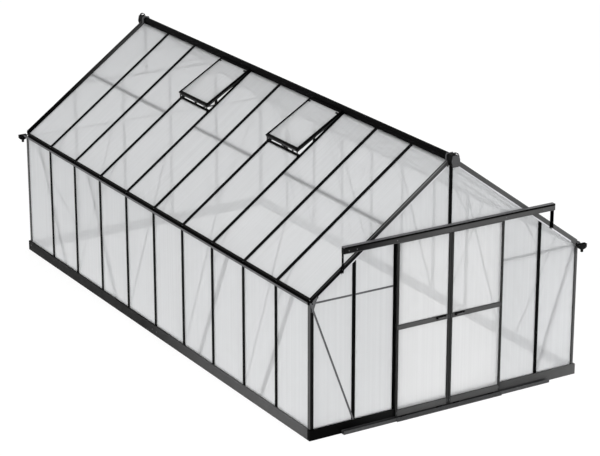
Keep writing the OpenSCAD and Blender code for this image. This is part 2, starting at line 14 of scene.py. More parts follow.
import bmesh
import bpy
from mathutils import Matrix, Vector


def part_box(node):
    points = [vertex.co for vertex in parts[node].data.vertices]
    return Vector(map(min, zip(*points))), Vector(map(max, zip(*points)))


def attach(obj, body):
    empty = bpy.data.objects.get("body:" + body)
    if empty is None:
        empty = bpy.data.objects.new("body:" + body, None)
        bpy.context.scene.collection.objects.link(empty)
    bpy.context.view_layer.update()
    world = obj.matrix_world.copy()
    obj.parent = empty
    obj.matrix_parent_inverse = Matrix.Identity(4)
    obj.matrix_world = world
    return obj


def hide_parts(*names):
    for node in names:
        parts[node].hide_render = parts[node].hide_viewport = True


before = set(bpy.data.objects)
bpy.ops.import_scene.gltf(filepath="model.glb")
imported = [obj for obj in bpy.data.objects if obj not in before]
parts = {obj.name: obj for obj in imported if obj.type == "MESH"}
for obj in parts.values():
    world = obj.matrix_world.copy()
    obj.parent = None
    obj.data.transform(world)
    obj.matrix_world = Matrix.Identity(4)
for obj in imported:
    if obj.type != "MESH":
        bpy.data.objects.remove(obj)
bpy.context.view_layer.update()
scene = bpy.context.scene

# %% [markdown]
# ## The camera
# The building is seen from beyond its left front corner and from above, through a long lens, so
# that the far bays shrink only a little. A long lens far away gives that calm, catalogue look.

# %% Place the camera
EYE = Vector((-11.431, -19.122, 8.718))
TILT = math.radians(70.623)
HEADING = math.radians(-31.343)
LENS = 135.94
FILM_WIDTH = 36.0
camera_data = bpy.data.cameras.new("camera")
camera_data.lens = LENS
camera_data.sensor_width = FILM_WIDTH
camera = bpy.data.objects.new("camera", camera_data)
camera.location = EYE
camera.rotation_euler = (TILT, 0.0, HEADING)
scene.collection.objects.link(camera)
scene.camera = camera
scene.view_settings.view_transform = "Standard"
# A ray may pass through many sheets, and each has two faces and thin webs inside, so a ray is let
# through this many clear faces.
CLEAR_FACES = 64
scene.cycles.transparent_max_bounces = CLEAR_FACES
print("camera at", [round(c, 2) for c in EYE], "lens", LENS)

# %% [markdown]
# ## Node helpers
# Every finish below is a small graph of shader nodes. A few helpers keep those graphs short: they
# start an empty material, add a node with its settings, wire two sockets, and make the slightly
# uneven noise that drives colour, roughness and bump.

# %% Short names for building node graphs
def new_finish(name):
    finish = bpy.data.materials.new(name)
    finish.use_nodes = True
    finish.node_tree.nodes.clear()
    return finish


def add(tree, kind, **settings):
    node = tree.nodes.new(kind)
    for key, value in settings.items():
        setattr(node, key, value)
    return node


def wire(tree, out, into):
    tree.links.new(out, into)


def grey(tone):
    return (tone, tone, tone, 1)


def grain(tree, stretch, scale, detail=2.0):
    """Noise that is fixed to the building, stretched by a factor along each axis."""
    place = add(tree, "ShaderNodeTexCoord")
    turn = add(tree, "ShaderNodeMapping")
    turn.inputs["Scale"].default_value = stretch
    noise = add(tree, "ShaderNodeTexNoise")
    noise.inputs["Scale"].default_value = scale
    noise.inputs["Detail"].default_value = detail
    wire(tree, place.outputs["Object"], turn.inputs["Vector"])
    wire(tree, turn.outputs["Vector"], noise.inputs["Vector"])
    return noise.outputs["Fac"]


NOISE_RANGE = (0.3, 0.7)


def spread(tree, source, low, high):
    """Turns noise, which stays near one half, into values between low and high."""
    span = add(tree, "ShaderNodeMapRange")
    span.inputs["From Min"].default_value = NOISE_RANGE[0]
    span.inputs["From Max"].default_value = NOISE_RANGE[1]
    span.inputs["To Min"].default_value = low
    span.inputs["To Max"].default_value = high
    wire(tree, source, span.inputs["Value"])
    return span.outputs["Result"]


print("node helpers ready")

# %% [markdown]
# ## The studio
# A plain pale room suits a black frame with clear sheets: the bars stand out and the sheets pick
# up an even glow. The room is a white world, a wide pale floor and two big soft lamps. Rays that
# are seen directly, or in a reflection, meet a clean white; the light that falls on the building
# is a little lower, so that pale sheets keep their tone.

# %% A switch for rays that show the backdrop
def backdrop_ray(tree):
    path = add(tree, "ShaderNodeLightPath")
    first = add(tree, "ShaderNodeMath", operation="MAXIMUM")
    second = add(tree, "ShaderNodeMath", operation="MAXIMUM")
    wire(tree, path.outputs["Is Camera Ray"], first.inputs[0])
    wire(tree, path.outputs["Is Glossy Ray"], first.inputs[1])
    wire(tree, first.outputs[0], second.inputs[0])
    wire(tree, path.outputs["Is Transmission Ray"], second.inputs[1])
    return second.outputs[0]


print("backdrop switch ready")

# %% The white world
FILL = 0.78
world = bpy.data.worlds.new("studio")
world.use_nodes = True
scene.world = world
tree = world.node_tree
tree.nodes.clear()
world_out = add(tree, "ShaderNodeOutputWorld")
world_mix = add(tree, "ShaderNodeMixShader")
fill_light = add(tree, "ShaderNodeBackground")
fill_light.inputs["Color"].default_value = grey(1)
fill_light.inputs["Strength"].default_value = FILL
white_wall = add(tree, "ShaderNodeBackground")
white_wall.inputs["Color"].default_value = grey(1)
white_wall.inputs["Strength"].default_value = 1.0
wire(tree, backdrop_ray(tree), world_mix.inputs[0])
wire(tree, fill_light.outputs[0], world_mix.inputs[1])
wire(tree, white_wall.outputs[0], world_mix.inputs[2])
wire(tree, world_mix.outputs[0], world_out.inputs["Surface"])
print("fill light", FILL)

# %% The pale floor
FLOOR_HALF = 60.0
FLOOR_GLOW = 0.88
FLOOR_PAINT = 0.17
LIT_PAINT = 0.8
floor_mesh = bpy.data.meshes.new("floor")
floor_mesh.from_pydata(
    [(-FLOOR_HALF, -FLOOR_HALF, 0), (FLOOR_HALF, -FLOOR_HALF, 0),
     (FLOOR_HALF, FLOOR_HALF, 0), (-FLOOR_HALF, FLOOR_HALF, 0)],
    [], [(0, 1, 2, 3)])
floor = bpy.data.objects.new("floor", floor_mesh)
scene.collection.objects.link(floor)

floor_finish = new_finish("pale_floor")
tree = floor_finish.node_tree
floor_out = add(tree, "ShaderNodeOutputMaterial")
floor_mix = add(tree, "ShaderNodeMixShader")
lit_floor = add(tree, "ShaderNodeBsdfDiffuse")
lit_floor.inputs["Color"].default_value = grey(LIT_PAINT)
seen_floor = add(tree, "ShaderNodeAddShader")
white_glow = add(tree, "ShaderNodeEmission")
white_glow.inputs["Strength"].default_value = FLOOR_GLOW
white_paint = add(tree, "ShaderNodeBsdfDiffuse")
white_paint.inputs["Color"].default_value = grey(FLOOR_PAINT)
wire(tree, white_glow.outputs[0], seen_floor.inputs[0])
wire(tree, white_paint.outputs[0], seen_floor.inputs[1])
wire(tree, backdrop_ray(tree), floor_mix.inputs[0])
wire(tree, lit_floor.outputs[0], floor_mix.inputs[1])
wire(tree, seen_floor.outputs[0], floor_mix.inputs[2])
wire(tree, floor_mix.outputs[0], floor_out.inputs["Surface"])
floor_mesh.materials.append(floor_finish)
print("floor", 2 * FLOOR_HALF, "m across")


# %% Two soft lamps
def soft_lamp(name, place, aim, size, watts):
    data = bpy.data.lights.new(name, "AREA")
    data.shape = "RECTANGLE"
    data.size, data.size_y = size
    data.energy = watts
    lamp = bpy.data.objects.new(name, data)
    lamp.location = place
    lamp.rotation_euler = (Vector(aim) - Vector(place)).to_track_quat("-Z", "Y").to_euler()
    scene.collection.objects.link(lamp)
    print(name, watts, "W")


soft_lamp("door_side_softbox", place=(6.0, -9.0, 3.2), aim=(0.8, -3.0, 0.8), size=(8.0, 6.0), watts=420)
soft_lamp("left_side_softbox", place=(-9.0, -5.0, 7.0), aim=(0.0, 0.0, 1.2), size=(6.0, 4.0), watts=260)

# %% [markdown]
# ## Finishes
# The bars are aluminium with a black powder coat. Powder melts into a film with a faint
# orange-peel surface, so its highlights are soft and slightly broken. The colour drifts by a few
# per cent from bar to bar and the gloss by a little more. The coats of long parts follow a ramp of
# greys along the building: painted light and shade, darker at one end and paler at the other.
# Some coats also have a painted tone on the faces that look sideways: painted light on the corner
# posts, painted shade on the leaves. Moulded pieces are matt, and screws are blackened steel.

# %% Painted light and shade that change along the building
def painted_light_along(tree, axis, stops):
    """Painted light and shade: a grey that follows stops of (distance in metres, tone) along an axis."""
    place = add(tree, "ShaderNodeTexCoord")
    parted = add(tree, "ShaderNodeSeparateXYZ")
    wire(tree, place.outputs["Object"], parted.inputs[0])
    first, last = stops[0][0], stops[-1][0]
    span = add(tree, "ShaderNodeMapRange")
    span.inputs["From Min"].default_value = first
    span.inputs["From Max"].default_value = last
    wire(tree, parted.outputs["XYZ".index(axis)], span.inputs["Value"])
    ramp = add(tree, "ShaderNodeValToRGB")
    while len(ramp.color_ramp.elements) < len(stops):
        ramp.color_ramp.elements.new(0.5)
    for element, (at, tone) in zip(ramp.color_ramp.elements, stops):
        element.position = (at - first) / (last - first)
        element.color = grey(tone)
    wire(tree, span.outputs["Result"], ramp.inputs["Fac"])
    return ramp.outputs["Color"]


def painted_side_mask(tree):
    """Mask for painted light and shade: 1 on faces that look out to the building's left or right, 0 on its
    ends.
    """
    surface = add(tree, "ShaderNodeNewGeometry")
    parted = add(tree, "ShaderNodeSeparateXYZ")
    wire(tree, surface.outputs["Normal"], parted.inputs[0])
    amount = add(tree, "ShaderNodeMath", operation="ABSOLUTE")
    wire(tree, parted.outputs[0], amount.inputs[0])
    return amount.outputs[0]


print("tone helpers ready")

# %% One recipe for every solid finish
# A colour mix node keeps its two colours and its result at these places.
COLOUR_A = 6
COLOUR_B = 7
MIXED = 2
COOLER = 1.04
DRIFT = 0.15
ROUGH_DRIFT = 0.06
BUMP = 0.25


def solid_finish(name, tone, gloss, rough, pits, pit_scale, metal=0.0, stretch=(1, 1, 1),
                 axis=None, side_tone=None):
    """Colour, roughness and a fine bump, each driven by its own noise.

    A tone is one grey, or stops of (distance, grey) along the axis; the stops are painted light and shade.
    A painted side tone is painted light and shade on faces that look sideways.
    """
    finish = new_finish(name)
    tree = finish.node_tree
    out = add(tree, "ShaderNodeOutputMaterial")
    skin = add(tree, "ShaderNodeBsdfPrincipled")
    skin.inputs["Specular IOR Level"].default_value = gloss
    skin.inputs["Metallic"].default_value = metal
    drift = add(tree, "ShaderNodeMix", data_type="RGBA", blend_type="MULTIPLY")
    drift.inputs[0].default_value = 1.0
    if axis and side_tone is not None:
        # Faces that look sideways get their own painted light and shade.
        painted_side_mix = add(tree, "ShaderNodeMix", data_type="RGBA")
        wire(tree, painted_side_mask(tree), painted_side_mix.inputs[0])
        wire(tree, painted_light_along(tree, axis, tone), painted_side_mix.inputs[COLOUR_A])
        painted_side_mix.inputs[COLOUR_B].default_value = grey(side_tone)
        wire(tree, painted_side_mix.outputs[MIXED], drift.inputs[COLOUR_A])
    elif axis:
        wire(tree, painted_light_along(tree, axis, tone), drift.inputs[COLOUR_A])
    else:
        drift.inputs[COLOUR_A].default_value = (tone, tone, tone * COOLER, 1)
    clouds = grain(tree, (1, 1, 1), 2.3, 4.0)
    wire(tree, spread(tree, clouds, 1 - DRIFT, 1 + DRIFT), drift.inputs[COLOUR_B])
    wire(tree, drift.outputs[MIXED], skin.inputs["Base Color"])
    smears = grain(tree, (1, 1, 1), 9.0, 3.0)
    wire(tree, spread(tree, smears, rough - ROUGH_DRIFT, rough + ROUGH_DRIFT),
         skin.inputs["Roughness"])
    peel = add(tree, "ShaderNodeBump")
    peel.inputs["Strength"].default_value = BUMP
    peel.inputs["Distance"].default_value = pits
    wire(tree, grain(tree, stretch, pit_scale), peel.inputs["Height"])
    wire(tree, peel.outputs["Normal"], skin.inputs["Normal"])
    wire(tree, skin.outputs[0], out.inputs["Surface"])
    print(name, "tone", tone)
    return finish


# %% Powder coats in one tone
PEEL_DEPTH = 0.00012
PEEL_SCALE = 900


def powder_coat(name, tone, gloss, rough=0.45, **more):
    return solid_finish("powder_coat_" + name, tone, gloss, rough, PEEL_DEPTH, PEEL_SCALE, **more)


powder_black = powder_coat("black", 0.0015, 0.02, 0.46)
powder_grey = powder_coat("grey", 0.03, 0.5, 0.42)
gutter_coat = powder_coat("gutter", 0.14, 0.08)
apron_coat = powder_coat("aprons", 0.024, 0.1)
hood_coat = powder_coat("hood", 0.12, 0.1)
brace_coat = powder_coat("braces", 0.1, 0.1)

# %% Powder coats with painted light and shade along the building
# Each ramp below is painted reflection and shade: dark at one end of the building and grey at the other.
# The corner posts' sideways faces get painted light.
side_base_painted_light_coat = powder_coat(
    "side_base_painted_light", [(-3.0, 0.10), (-1.6, 0.10), (-0.9, 0.07), (0.2, 0.009), (3.0, 0.007)],
    0.06, 0.5, axis="Y")
end_base_painted_light_coat = powder_coat(
    "end_base_painted_light", [(-1.53, 0.001), (-1.1, 0.0015), (-0.6, 0.011), (0.7, 0.066), (1.53, 0.095)],
    0.02, 0.5, axis="X")
rail_painted_light_coat = powder_coat(
    "rail", [(-1.19, 0.005), (-1.0, 0.008), (-0.6, 0.04), (-0.1, 0.068), (1.19, 0.072)],
    0.05, axis="X")
rafter_painted_light_coat = powder_coat(
    "rafters", [(-1.5, 0.001), (-1.0, 0.006), (-0.7, 0.028), (-0.4, 0.055), (0.0, 0.06),
                (0.05, 0.078), (1.5, 0.085)], 0.02, axis="X")
rafter_trim_painted_light_coat = powder_coat(
    "rafter_trim_painted_light", [(-1.5, 0.01), (-1.3, 0.035), (-0.7, 0.1), (-0.4, 0.14), (0.0, 0.14),
                    (0.05, 0.08), (1.5, 0.1)], 0.05, axis="X")
post_painted_light_coat = powder_coat(
    "posts", [(-1.51, 0.003), (-1.4, 0.003), (1.46, 0.02), (1.51, 0.1)], 0.05, axis="X", side_tone=0.1)

# %% The coat of the sliding leaves
# Darker stops where the leaves meet and at their outer edges are painted shade of the gaps there. The rails
# between them are paler. Faces that look sideways get painted shade too.
STILE_PAINTED_SHADE = 0.022
RAIL_TONE = 0.07
right_painted_stops = [(0.024, STILE_PAINTED_SHADE), (0.026, RAIL_TONE), (0.577, RAIL_TONE), (0.579, STILE_PAINTED_SHADE),
               (0.6, STILE_PAINTED_SHADE)]
left_painted_stops = [(-at, tone) for at, tone in reversed(right_painted_stops)]
leaf_painted_shade_coat = powder_coat("leaves", left_painted_stops + right_painted_stops, 0.1, 0.42, axis="X", side_tone=0.006)

# %% Mouldings, rubber, brush pile and steel
MOULD_DEPTH = 0.0002
MOULD_SCALE = 600


def moulding(name, tone, gloss, rough=0.5):
    return solid_finish("moulded_" + name, tone, gloss, rough, MOULD_DEPTH, MOULD_SCALE)


ear_coat = moulding("ears", 0.09, 0.1)
plate_coat = moulding("plates", 0.065, 0.1)
moulded = moulding("black", 0.004, 0.05, 0.55)
edging = solid_finish("pale_edging", 0.55, 0.3, 0.5, 0.0001, 700)
rubber = solid_finish("seal_rubber", 0.003, 0.02, 0.7, 0.0001, 1500)
brush = solid_finish("brush_pile", 0.02, 0.1, 0.85, 0.0006, 400, stretch=(8, 8, 1))
blackened = solid_finish("blackened_steel", 0.12, 0.5, 0.38, 0.00005, 2500, metal=1.0)

# %% [markdown]
# Twin-wall sheet is two thin clear skins joined by webs. Part of the light passes straight
# through, part is scattered on its way, and a little is mirrored by the skin. A mix of a
# transparent, a translucent and a glossy shader gives exactly those three shares. Faint streaks
# follow the webs, because the sheet is extruded along them: upright in walls and doors, and down
# the slope on the roof. The far slope, which is seen through the near one, has a darker haze:
# painted shade.

# %% Sheet finishes
# The straight share is what one skin face lets through, and a sheet has two.
STRAIGHT_SHARE = 0.35
DOOR_STRAIGHT_SHARE = 0.38
GLOSS_SHARE = 0.07
WEB_CLEARNESS = (0.86, 0.94)
STREAK_DRIFT = 0.02
SKIN_MIRROR = (0.7, 0.71, 0.72, 1)
SKIN_ROUGH = 0.32
WALL_HAZE = (0.91, 0.915, 0.92, 1)
ROOF_HAZE = (0.86, 0.865, 0.87, 1)
# The far slope's darker haze is painted shade.
FAR_ROOF_PAINTED_SHADE = (0.66, 0.665, 0.67, 1)
DOOR_HAZE = (1, 1, 1, 1)
UPRIGHT = (45, 45, 0.35)
DOWN_THE_SLOPE = (0.35, 45, 0.35)


def sheet_finish(name, stretch, haze_tone, straight_share=STRAIGHT_SHARE):
    finish = new_finish(name)
    tree = finish.node_tree
    out = add(tree, "ShaderNodeOutputMaterial")
    straight = add(tree, "ShaderNodeBsdfTransparent")
    haze = add(tree, "ShaderNodeBsdfTranslucent")
    haze.inputs["Color"].default_value = haze_tone
    mirror = add(tree, "ShaderNodeBsdfGlossy")
    mirror.inputs["Color"].default_value = SKIN_MIRROR
    mirror.inputs["Roughness"].default_value = SKIN_ROUGH
    scatter = add(tree, "ShaderNodeMixShader")
    scatter.inputs[0].default_value = GLOSS_SHARE / (1 - straight_share)
    wire(tree, haze.outputs[0], scatter.inputs[1])
    wire(tree, mirror.outputs[0], scatter.inputs[2])
    whole = add(tree, "ShaderNodeMixShader")
    streaks = spread(tree, grain(tree, stretch, 1.0, 3.0),
                     straight_share - STREAK_DRIFT, straight_share + STREAK_DRIFT)
    wire(tree, streaks, whole.inputs[0])
    wire(tree, scatter.outputs[0], whole.inputs[1])
    wire(tree, straight.outputs[0], whole.inputs[2])
    wire(tree, whole.outputs[0], out.inputs["Surface"])
    return finish


def web_finish(name):
    """The webs inside a sheet: almost clear, so that they only draw faint lines."""
    finish = new_finish(name)
    tree = finish.node_tree
    out = add(tree, "ShaderNodeOutputMaterial")
    straight = add(tree, "ShaderNodeBsdfTransparent")
    haze = add(tree, "ShaderNodeBsdfTranslucent")
    haze.inputs["Color"].default_value = WALL_HAZE
    whole = add(tree, "ShaderNodeMixShader")
    wire(tree, spread(tree, grain(tree, (3, 3, 0.6), 2.0), *WEB_CLEARNESS), whole.inputs[0])
    wire(tree, haze.outputs[0], whole.inputs[1])
    wire(tree, straight.outputs[0], whole.inputs[2])
    wire(tree, whole.outputs[0], out.inputs["Surface"])
    return finish


upright_sheet = sheet_finish("twin_wall_upright", UPRIGHT, WALL_HAZE)
sloped_sheet = sheet_finish("twin_wall_down_the_slope", DOWN_THE_SLOPE, ROOF_HAZE)
# The same sheet with painted shade, for the far slope.
far_slope_painted_shade_sheet = sheet_finish("twin_wall_far_slope_painted_shade", DOWN_THE_SLOPE, FAR_ROOF_PAINTED_SHADE)
door_sheet = sheet_finish("twin_wall_door", UPRIGHT, DOOR_HAZE, DOOR_STRAIGHT_SHARE)
clear_web = web_finish("twin_wall_web")
print("sheets pass", STRAIGHT_SHARE ** 2, "of the light straight through")

# %% Give every ready-made part its finish
# The bases, rail, leaves, rafters and corner posts get coats with painted light and shade.
OWN_COAT = {"side_bases": side_base_painted_light_coat, "end_bases": end_base_painted_light_coat, "door_rail": rail_painted_light_coat,
            "left_door_frame": leaf_painted_shade_coat, "right_door_frame": leaf_painted_shade_coat,
            "door_track": powder_grey, "gable_rafters": rafter_painted_light_coat,
            "corner_posts": post_painted_light_coat, "gutter_sides": gutter_coat,
            "gable_bracing": brace_coat, "eave_gussets": brace_coat}
for name, part in parts.items():
    if "sheets" in name:
        finish = upright_sheet
        if "roof" in name or "vent" in name:
            finish = far_slope_painted_shade_sheet if "right" in name else sloped_sheet
        elif "door" in name:
            finish = door_sheet
    else:
        finish = OWN_COAT.get(name, powder_black)
    part.data.materials.clear()
    part.data.materials.append(finish)
print("finished", len(parts), "parts")

# %% [markdown]
# ## Shape tools
# Most small pieces are one outline pushed along a bar, a row of matching rings joined into a
# skin, or a profile turned like lathe work. A kit collects such closed shapes in millimetres and
# turns them into one object, which rides on the body that it is fixed to.

# %% A kit of closed shapes
MM = 0.001
SMOOTH_BELOW = math.radians(34)
SOFTEN_ABOVE = math.radians(40)


class Kit:
    def __init__(self):
        self.points = []
        self.faces = []

    def loft(self, rings, ring_shaped=False):
        """Joins rings of equal count. Ends are capped unless the last ring meets the first."""
        start = len(self.points)
        count = len(rings[0])
        for ring in rings:
            self.points += [Vector(point) for point in ring]
        last = len(rings) if ring_shaped else len(rings) - 1
        for a in range(last):
            b = (a + 1) % len(rings)
            for i in range(count):
                j = (i + 1) % count
                corners = (a * count + i, a * count + j, b * count + j, b * count + i)
                self.faces.append([start + corner for corner in corners])
        if not ring_shaped:
            top = start + (len(rings) - 1) * count
            self.faces.append([start + i for i in reversed(range(count))])
            self.faces.append([top + i for i in range(count)])

    def prism(self, outline, axis, low, high):
        """An outline across an axis, pushed from low to high along it."""
        def put(a, b, at):
            return {"x": (at, a, b), "y": (a, at, b), "z": (a, b, at)}[axis]
        self.loft([[put(a, b, at) for a, b in outline] for at in (low, high)])

    def block(self, low, high):
        self.prism([(low[0], low[1]), (high[0], low[1]), (high[0], high[1]), (low[0], high[1])],
                   "z", low[2], high[2])

    def slab(self, put, low, high):
        """A block in another frame: put turns that frame's (u, v, w) into (x, y, z)."""
        flat = [(low[0], low[1]), (high[0], low[1]), (high[0], high[1]), (low[0], high[1])]
        self.loft([[put(u, v, w) for u, v in flat] for w in (low[2], high[2])])

    def turned(self, profile, place, way, steps=12, ring_shaped=False):
        """A profile of (radius, height) turned about the line from place along way."""
        turn = Vector(way).to_track_quat("Z", "Y").to_matrix()
        rings = []
        for radius, height in profile:
            angles = [2 * math.pi * i / steps for i in range(steps)]
            rings.append([Vector(place) + turn @ Vector((radius * math.cos(a),
                                                         radius * math.sin(a), height))
                          for a in angles])
        self.loft(rings, ring_shaped)

    def piece(self, name, body, finish, stands_for=(), edge=0.0):
        """Makes the object, with outward faces, smooth curves and softened edges."""
        mesh = bpy.data.meshes.new(name)
        mesh.from_pydata([point * MM for point in self.points], [], self.faces)
        work = bmesh.new()
        work.from_mesh(mesh)
        bmesh.ops.recalc_face_normals(work, faces=work.faces)
        work.to_mesh(mesh)
        work.free()
        for face in mesh.polygons:
            face.use_smooth = True
        mesh.set_sharp_from_angle(angle=SMOOTH_BELOW)
        mesh.materials.append(finish)
        obj = bpy.data.objects.new(name, mesh)
        scene.collection.objects.link(obj)
        if edge:
            soften = obj.modifiers.new("soft_edges", "BEVEL")
            soften.width = edge * MM
            soften.segments = 2
            soften.limit_method = "ANGLE"
            soften.angle_limit = SOFTEN_ABOVE
        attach(obj, body)
        if stands_for:
            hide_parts(*stands_for)
        print(f"{name}: {len(self.faces)} faces, on {body}")


print("kit ready")

# %% [markdown]
# ## Finding things on the building
# One part may hold many separate solids, such as all the wall studs. Walking over the faces that
# share a corner sorts them into solids, and each solid's box says where a screw or a seal goes.

# %% Boxes of the separate solids in a part, in millimetres
# Corners that round to the same twentieth of a millimetre count as one.
STEPS_PER_M = 20000


def solid_points(name):
    mesh = parts[name].data
    keys = [tuple(round(c * STEPS_PER_M) for c in v.co) for v in mesh.vertices]
    leader = {key: key for key in keys}

    def find(key):
        while leader[key] != key:
            leader[key] = leader[leader[key]]
            key = leader[key]
        return key

    for face in mesh.polygons:
        first = find(keys[face.vertices[0]])
        for index in face.vertices[1:]:
            other = find(keys[index])
            if other != first:
                leader[other] = first
    groups = {}
    for index, key in enumerate(keys):
        groups.setdefault(find(key), []).append(index)
    return sorted(groups.values(), key=lambda group: min(tuple(mesh.vertices[i].co)
                                                         for i in group))


def solids(name):
    mesh = parts[name].data
    boxes = []
    for group in solid_points(name):
        spots = [mesh.vertices[i].co / MM for i in group]
        boxes.append((Vector([min(s[k] for s in spots) for k in range(3)]),
                      Vector([max(s[k] for s in spots) for k in range(3)])))
    return boxes


def box_mm(name):
    low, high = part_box(name)
    return low / MM, high / MM


print("wall studs:", len(solids("wall_studs")), "roof bars:", len(solids("roof_bars")))


# %% Which side and which end a solid is on
def side_of(low):
    """-1 on the building's left, 1 on its right."""
    return 1 if low.x > 0 else -1


def end_of(low):
    """-1 at the door end, 1 at the far end."""
    return 1 if low.y > 0 else -1


def reach(a, b):
    """How near to the building's middle a pair of values comes, and how far from it."""
    return sorted((abs(a), abs(b)))


print("gutter outlets at", [(side_of(low), end_of(low)) for low, high in solids("gutter_outlets")])

# %% The roof's own frame
BASE_X = -box_mm("side_bases")[0].x
EAVE_Z = 1352.0
PITCH = math.radians(36.0)
VENT_PITCH = math.radians(30.5)
RIDGE_X = box_mm("ridge_beam")[1].x
WALL_X = -box_mm("wall_studs")[0].x
GABLE_Y = -box_mm("gable_studs")[0].y
CAP_T = 3.0


def roof_z(x, depth=0.0):
    """Height of the roof at a distance from the middle, at a depth below its surface."""
    return EAVE_Z + (BASE_X - abs(x)) * math.tan(PITCH) - depth / math.cos(PITCH)


def roof_outline(side, inner, outer, top, bottom):
    """A strip that follows the slope between two distances from the middle."""
    return [(side * inner, roof_z(inner, top)), (side * outer, roof_z(outer, top)),
            (side * outer, roof_z(outer, bottom)), (side * inner, roof_z(inner, bottom))]


print("roof line at the wall", round(roof_z(WALL_X), 1), "at the ridge", round(roof_z(RIDGE_X), 1))

# %% [markdown]
# ## Webs inside the sheets
# The webs are what makes twin-wall sheet look the way it does: a fine, regular ribbing that runs
# with the sheet. Each web is a thin strip cut from the sheet's own cross-section, pulled in by
# the thickness of the skins. A slice across the sheet is a flat, simple outline, so its convex
# hull is found from the points where the slice plane meets the sheet's edges.

# %% Slice a sheet and pull the slice inside its skins
WEB_STEP = 20.0
WEB_HALF = 0.3
WEB_MARGIN = 8
WEB_LENGTH = 0.9985
SKIN = 0.5
STRAIGHT_ENOUGH = 1e-6


def hull(points):
    points = sorted(set((round(a, 3), round(b, 3)) for a, b in points))

    def half(run):
        chain = []
        for p in run:
            while len(chain) > 1:
                (ax, ay), (bx, by) = chain[-2], chain[-1]
                if (bx - ax) * (p[1] - ay) - (by - ay) * (p[0] - ax) > STRAIGHT_ENOUGH:
                    break
                chain.pop()
            chain.append(p)
        return chain

    return half(points)[:-1] + half(points[::-1])[:-1]


def slice_outline(mesh, edges, axis, at):
    """Where a plane across an axis cuts the sheet's edges, as a 2D outline in millimetres."""
    keep = [k for k in range(3) if k != axis]
    cuts = []
    for start, end in edges:
        a = mesh.vertices[start].co / MM
        b = mesh.vertices[end].co / MM
        if (a[axis] - at) * (b[axis] - at) < 0:
            spot = a.lerp(b, (at - a[axis]) / (b[axis] - a[axis]))
            cuts.append((spot[keep[0]], spot[keep[1]]))
    return hull(cuts)


def inside_skins(outline):
    """Moves both faces of a slice inwards by the thickness of a skin."""
    pairs = list(zip(outline, outline[1:] + outline[:1]))
    a, b = max(pairs, key=lambda pair: math.dist(*pair))
    long_way = Vector((b[0] - a[0], b[1] - a[1])).normalized()
    across = Vector((-long_way.y, long_way.x))
    middle = sum((Vector(p) for p in outline), Vector((0, 0))) / len(outline)
    moved = []
    for p in outline:
        off = Vector(p) - middle
        sideways = off.dot(across)
        sideways -= math.copysign(min(SKIN, abs(sideways)), sideways)
        along = off.dot(long_way) * WEB_LENGTH
        moved.append(tuple(middle + across * sideways + long_way * along))
    return moved


def add_webs(place, body, axis):
    kit = Kit()
    mesh = parts[place + "_sheets"].data
    for group in solid_points(place + "_sheets"):
        members = set(group)
        edges = [tuple(e.vertices) for e in mesh.edges if e.vertices[0] in members]
        low = min(mesh.vertices[i].co[axis] for i in group) / MM
        high = max(mesh.vertices[i].co[axis] for i in group) / MM
        count = int((high - low - WEB_MARGIN) // WEB_STEP)
        first = (low + high - count * WEB_STEP) / 2
        for i in range(count + 1):
            at = first + i * WEB_STEP
            outline = slice_outline(mesh, edges, axis, at)
            if len(outline) > 2:
                kit.prism(inside_skins(outline), "xyz"[axis], at - WEB_HALF, at + WEB_HALF)
    kit.piece(place + "_webs", body, clear_web)


# %% Webs for every sheet
# They follow one another across the building in gables and doors, and along it elsewhere.
ACROSS = 0
ALONG = 1
for place in ("left_wall", "right_wall", "left_roof", "right_roof"):
    add_webs(place, "root", ALONG)
for place in ("front_gable", "back_gable"):
    add_webs(place, "root", ACROSS)
add_webs("vent", "root", ALONG)
for place in ("left_door", "right_door"):
    add_webs(place, place, ACROSS)

# %% [markdown]
# ## Rubber seals
# Each bar clamps the sheets between its cap and a flange, with a rubber seal squeezed out on both
# sides of the cap. The seals are narrow black lips that lie on the sheet. They keep the water
# out, and they make each bar look a little wider and darker than its cap.

# %% Seals beside the wall studs, gable studs and corner posts
SEAL_W = 6.0
SEAL_TOP = 0.8
kit = Kit()


def seal_ends(low, high, width=SEAL_W):
    """The strips just outside both edges of a cap."""
    return ((low - width, low), (high, high + width))


def under_cap(way, outer):
    """From the sheet's face to just below the cap's, on the side that way points to."""
    return sorted((way * (outer - CAP_T), way * (outer - SEAL_TOP)))


for low, high in solids("wall_studs"):
    side = side_of(low)
    near, far = under_cap(side, WALL_X)
    for start, end in seal_ends(low.y, high.y):
        kit.block((near, start, low.z), (far, end, high.z))
GABLE_SEAL_W = 2.0
BELOW_RAFTER = 36
for low, high in solids("gable_studs") + solids("door_jambs"):
    near, far = under_cap(end_of(low), GABLE_Y)
    for start, end in seal_ends(low.x, high.x, GABLE_SEAL_W):
        top = min(high.z, roof_z(reach(start, end)[1], BELOW_RAFTER))
        kit.block((start, near, low.z), (end, far, top))
for low, high in solids("corner_posts"):
    side, way = side_of(low), end_of(low)
    inner_x = side * reach(low.x, high.x)[0]
    inner_y = way * reach(low.y, high.y)[0]
    xs = under_cap(side, WALL_X)
    ys = sorted((inner_y, inner_y - way * SEAL_W))
    kit.block((xs[0], ys[0], low.z), (xs[1], ys[1], high.z))
    xs = sorted((inner_x, inner_x - side * SEAL_W))
    ys = under_cap(way, GABLE_Y)
    kit.block((xs[0], ys[0], low.z), (xs[1], ys[1], high.z))
kit.piece("wall_seals", "root", rubber)

# %% Seals beside the roof bars and the rafters
kit = Kit()
SHEET_END_X = -box_mm("left_roof_sheets")[0].x
vent_spans = [(low.y, high.y) for low, high in solids("vent_sills")]
VENT_FOOT_X = max(high.x for low, high in solids("vent_sills"))
BAY_SLACK = 3


def in_vent_bay(y):
    return any(start - BAY_SLACK < y < end + BAY_SLACK for start, end in vent_spans)


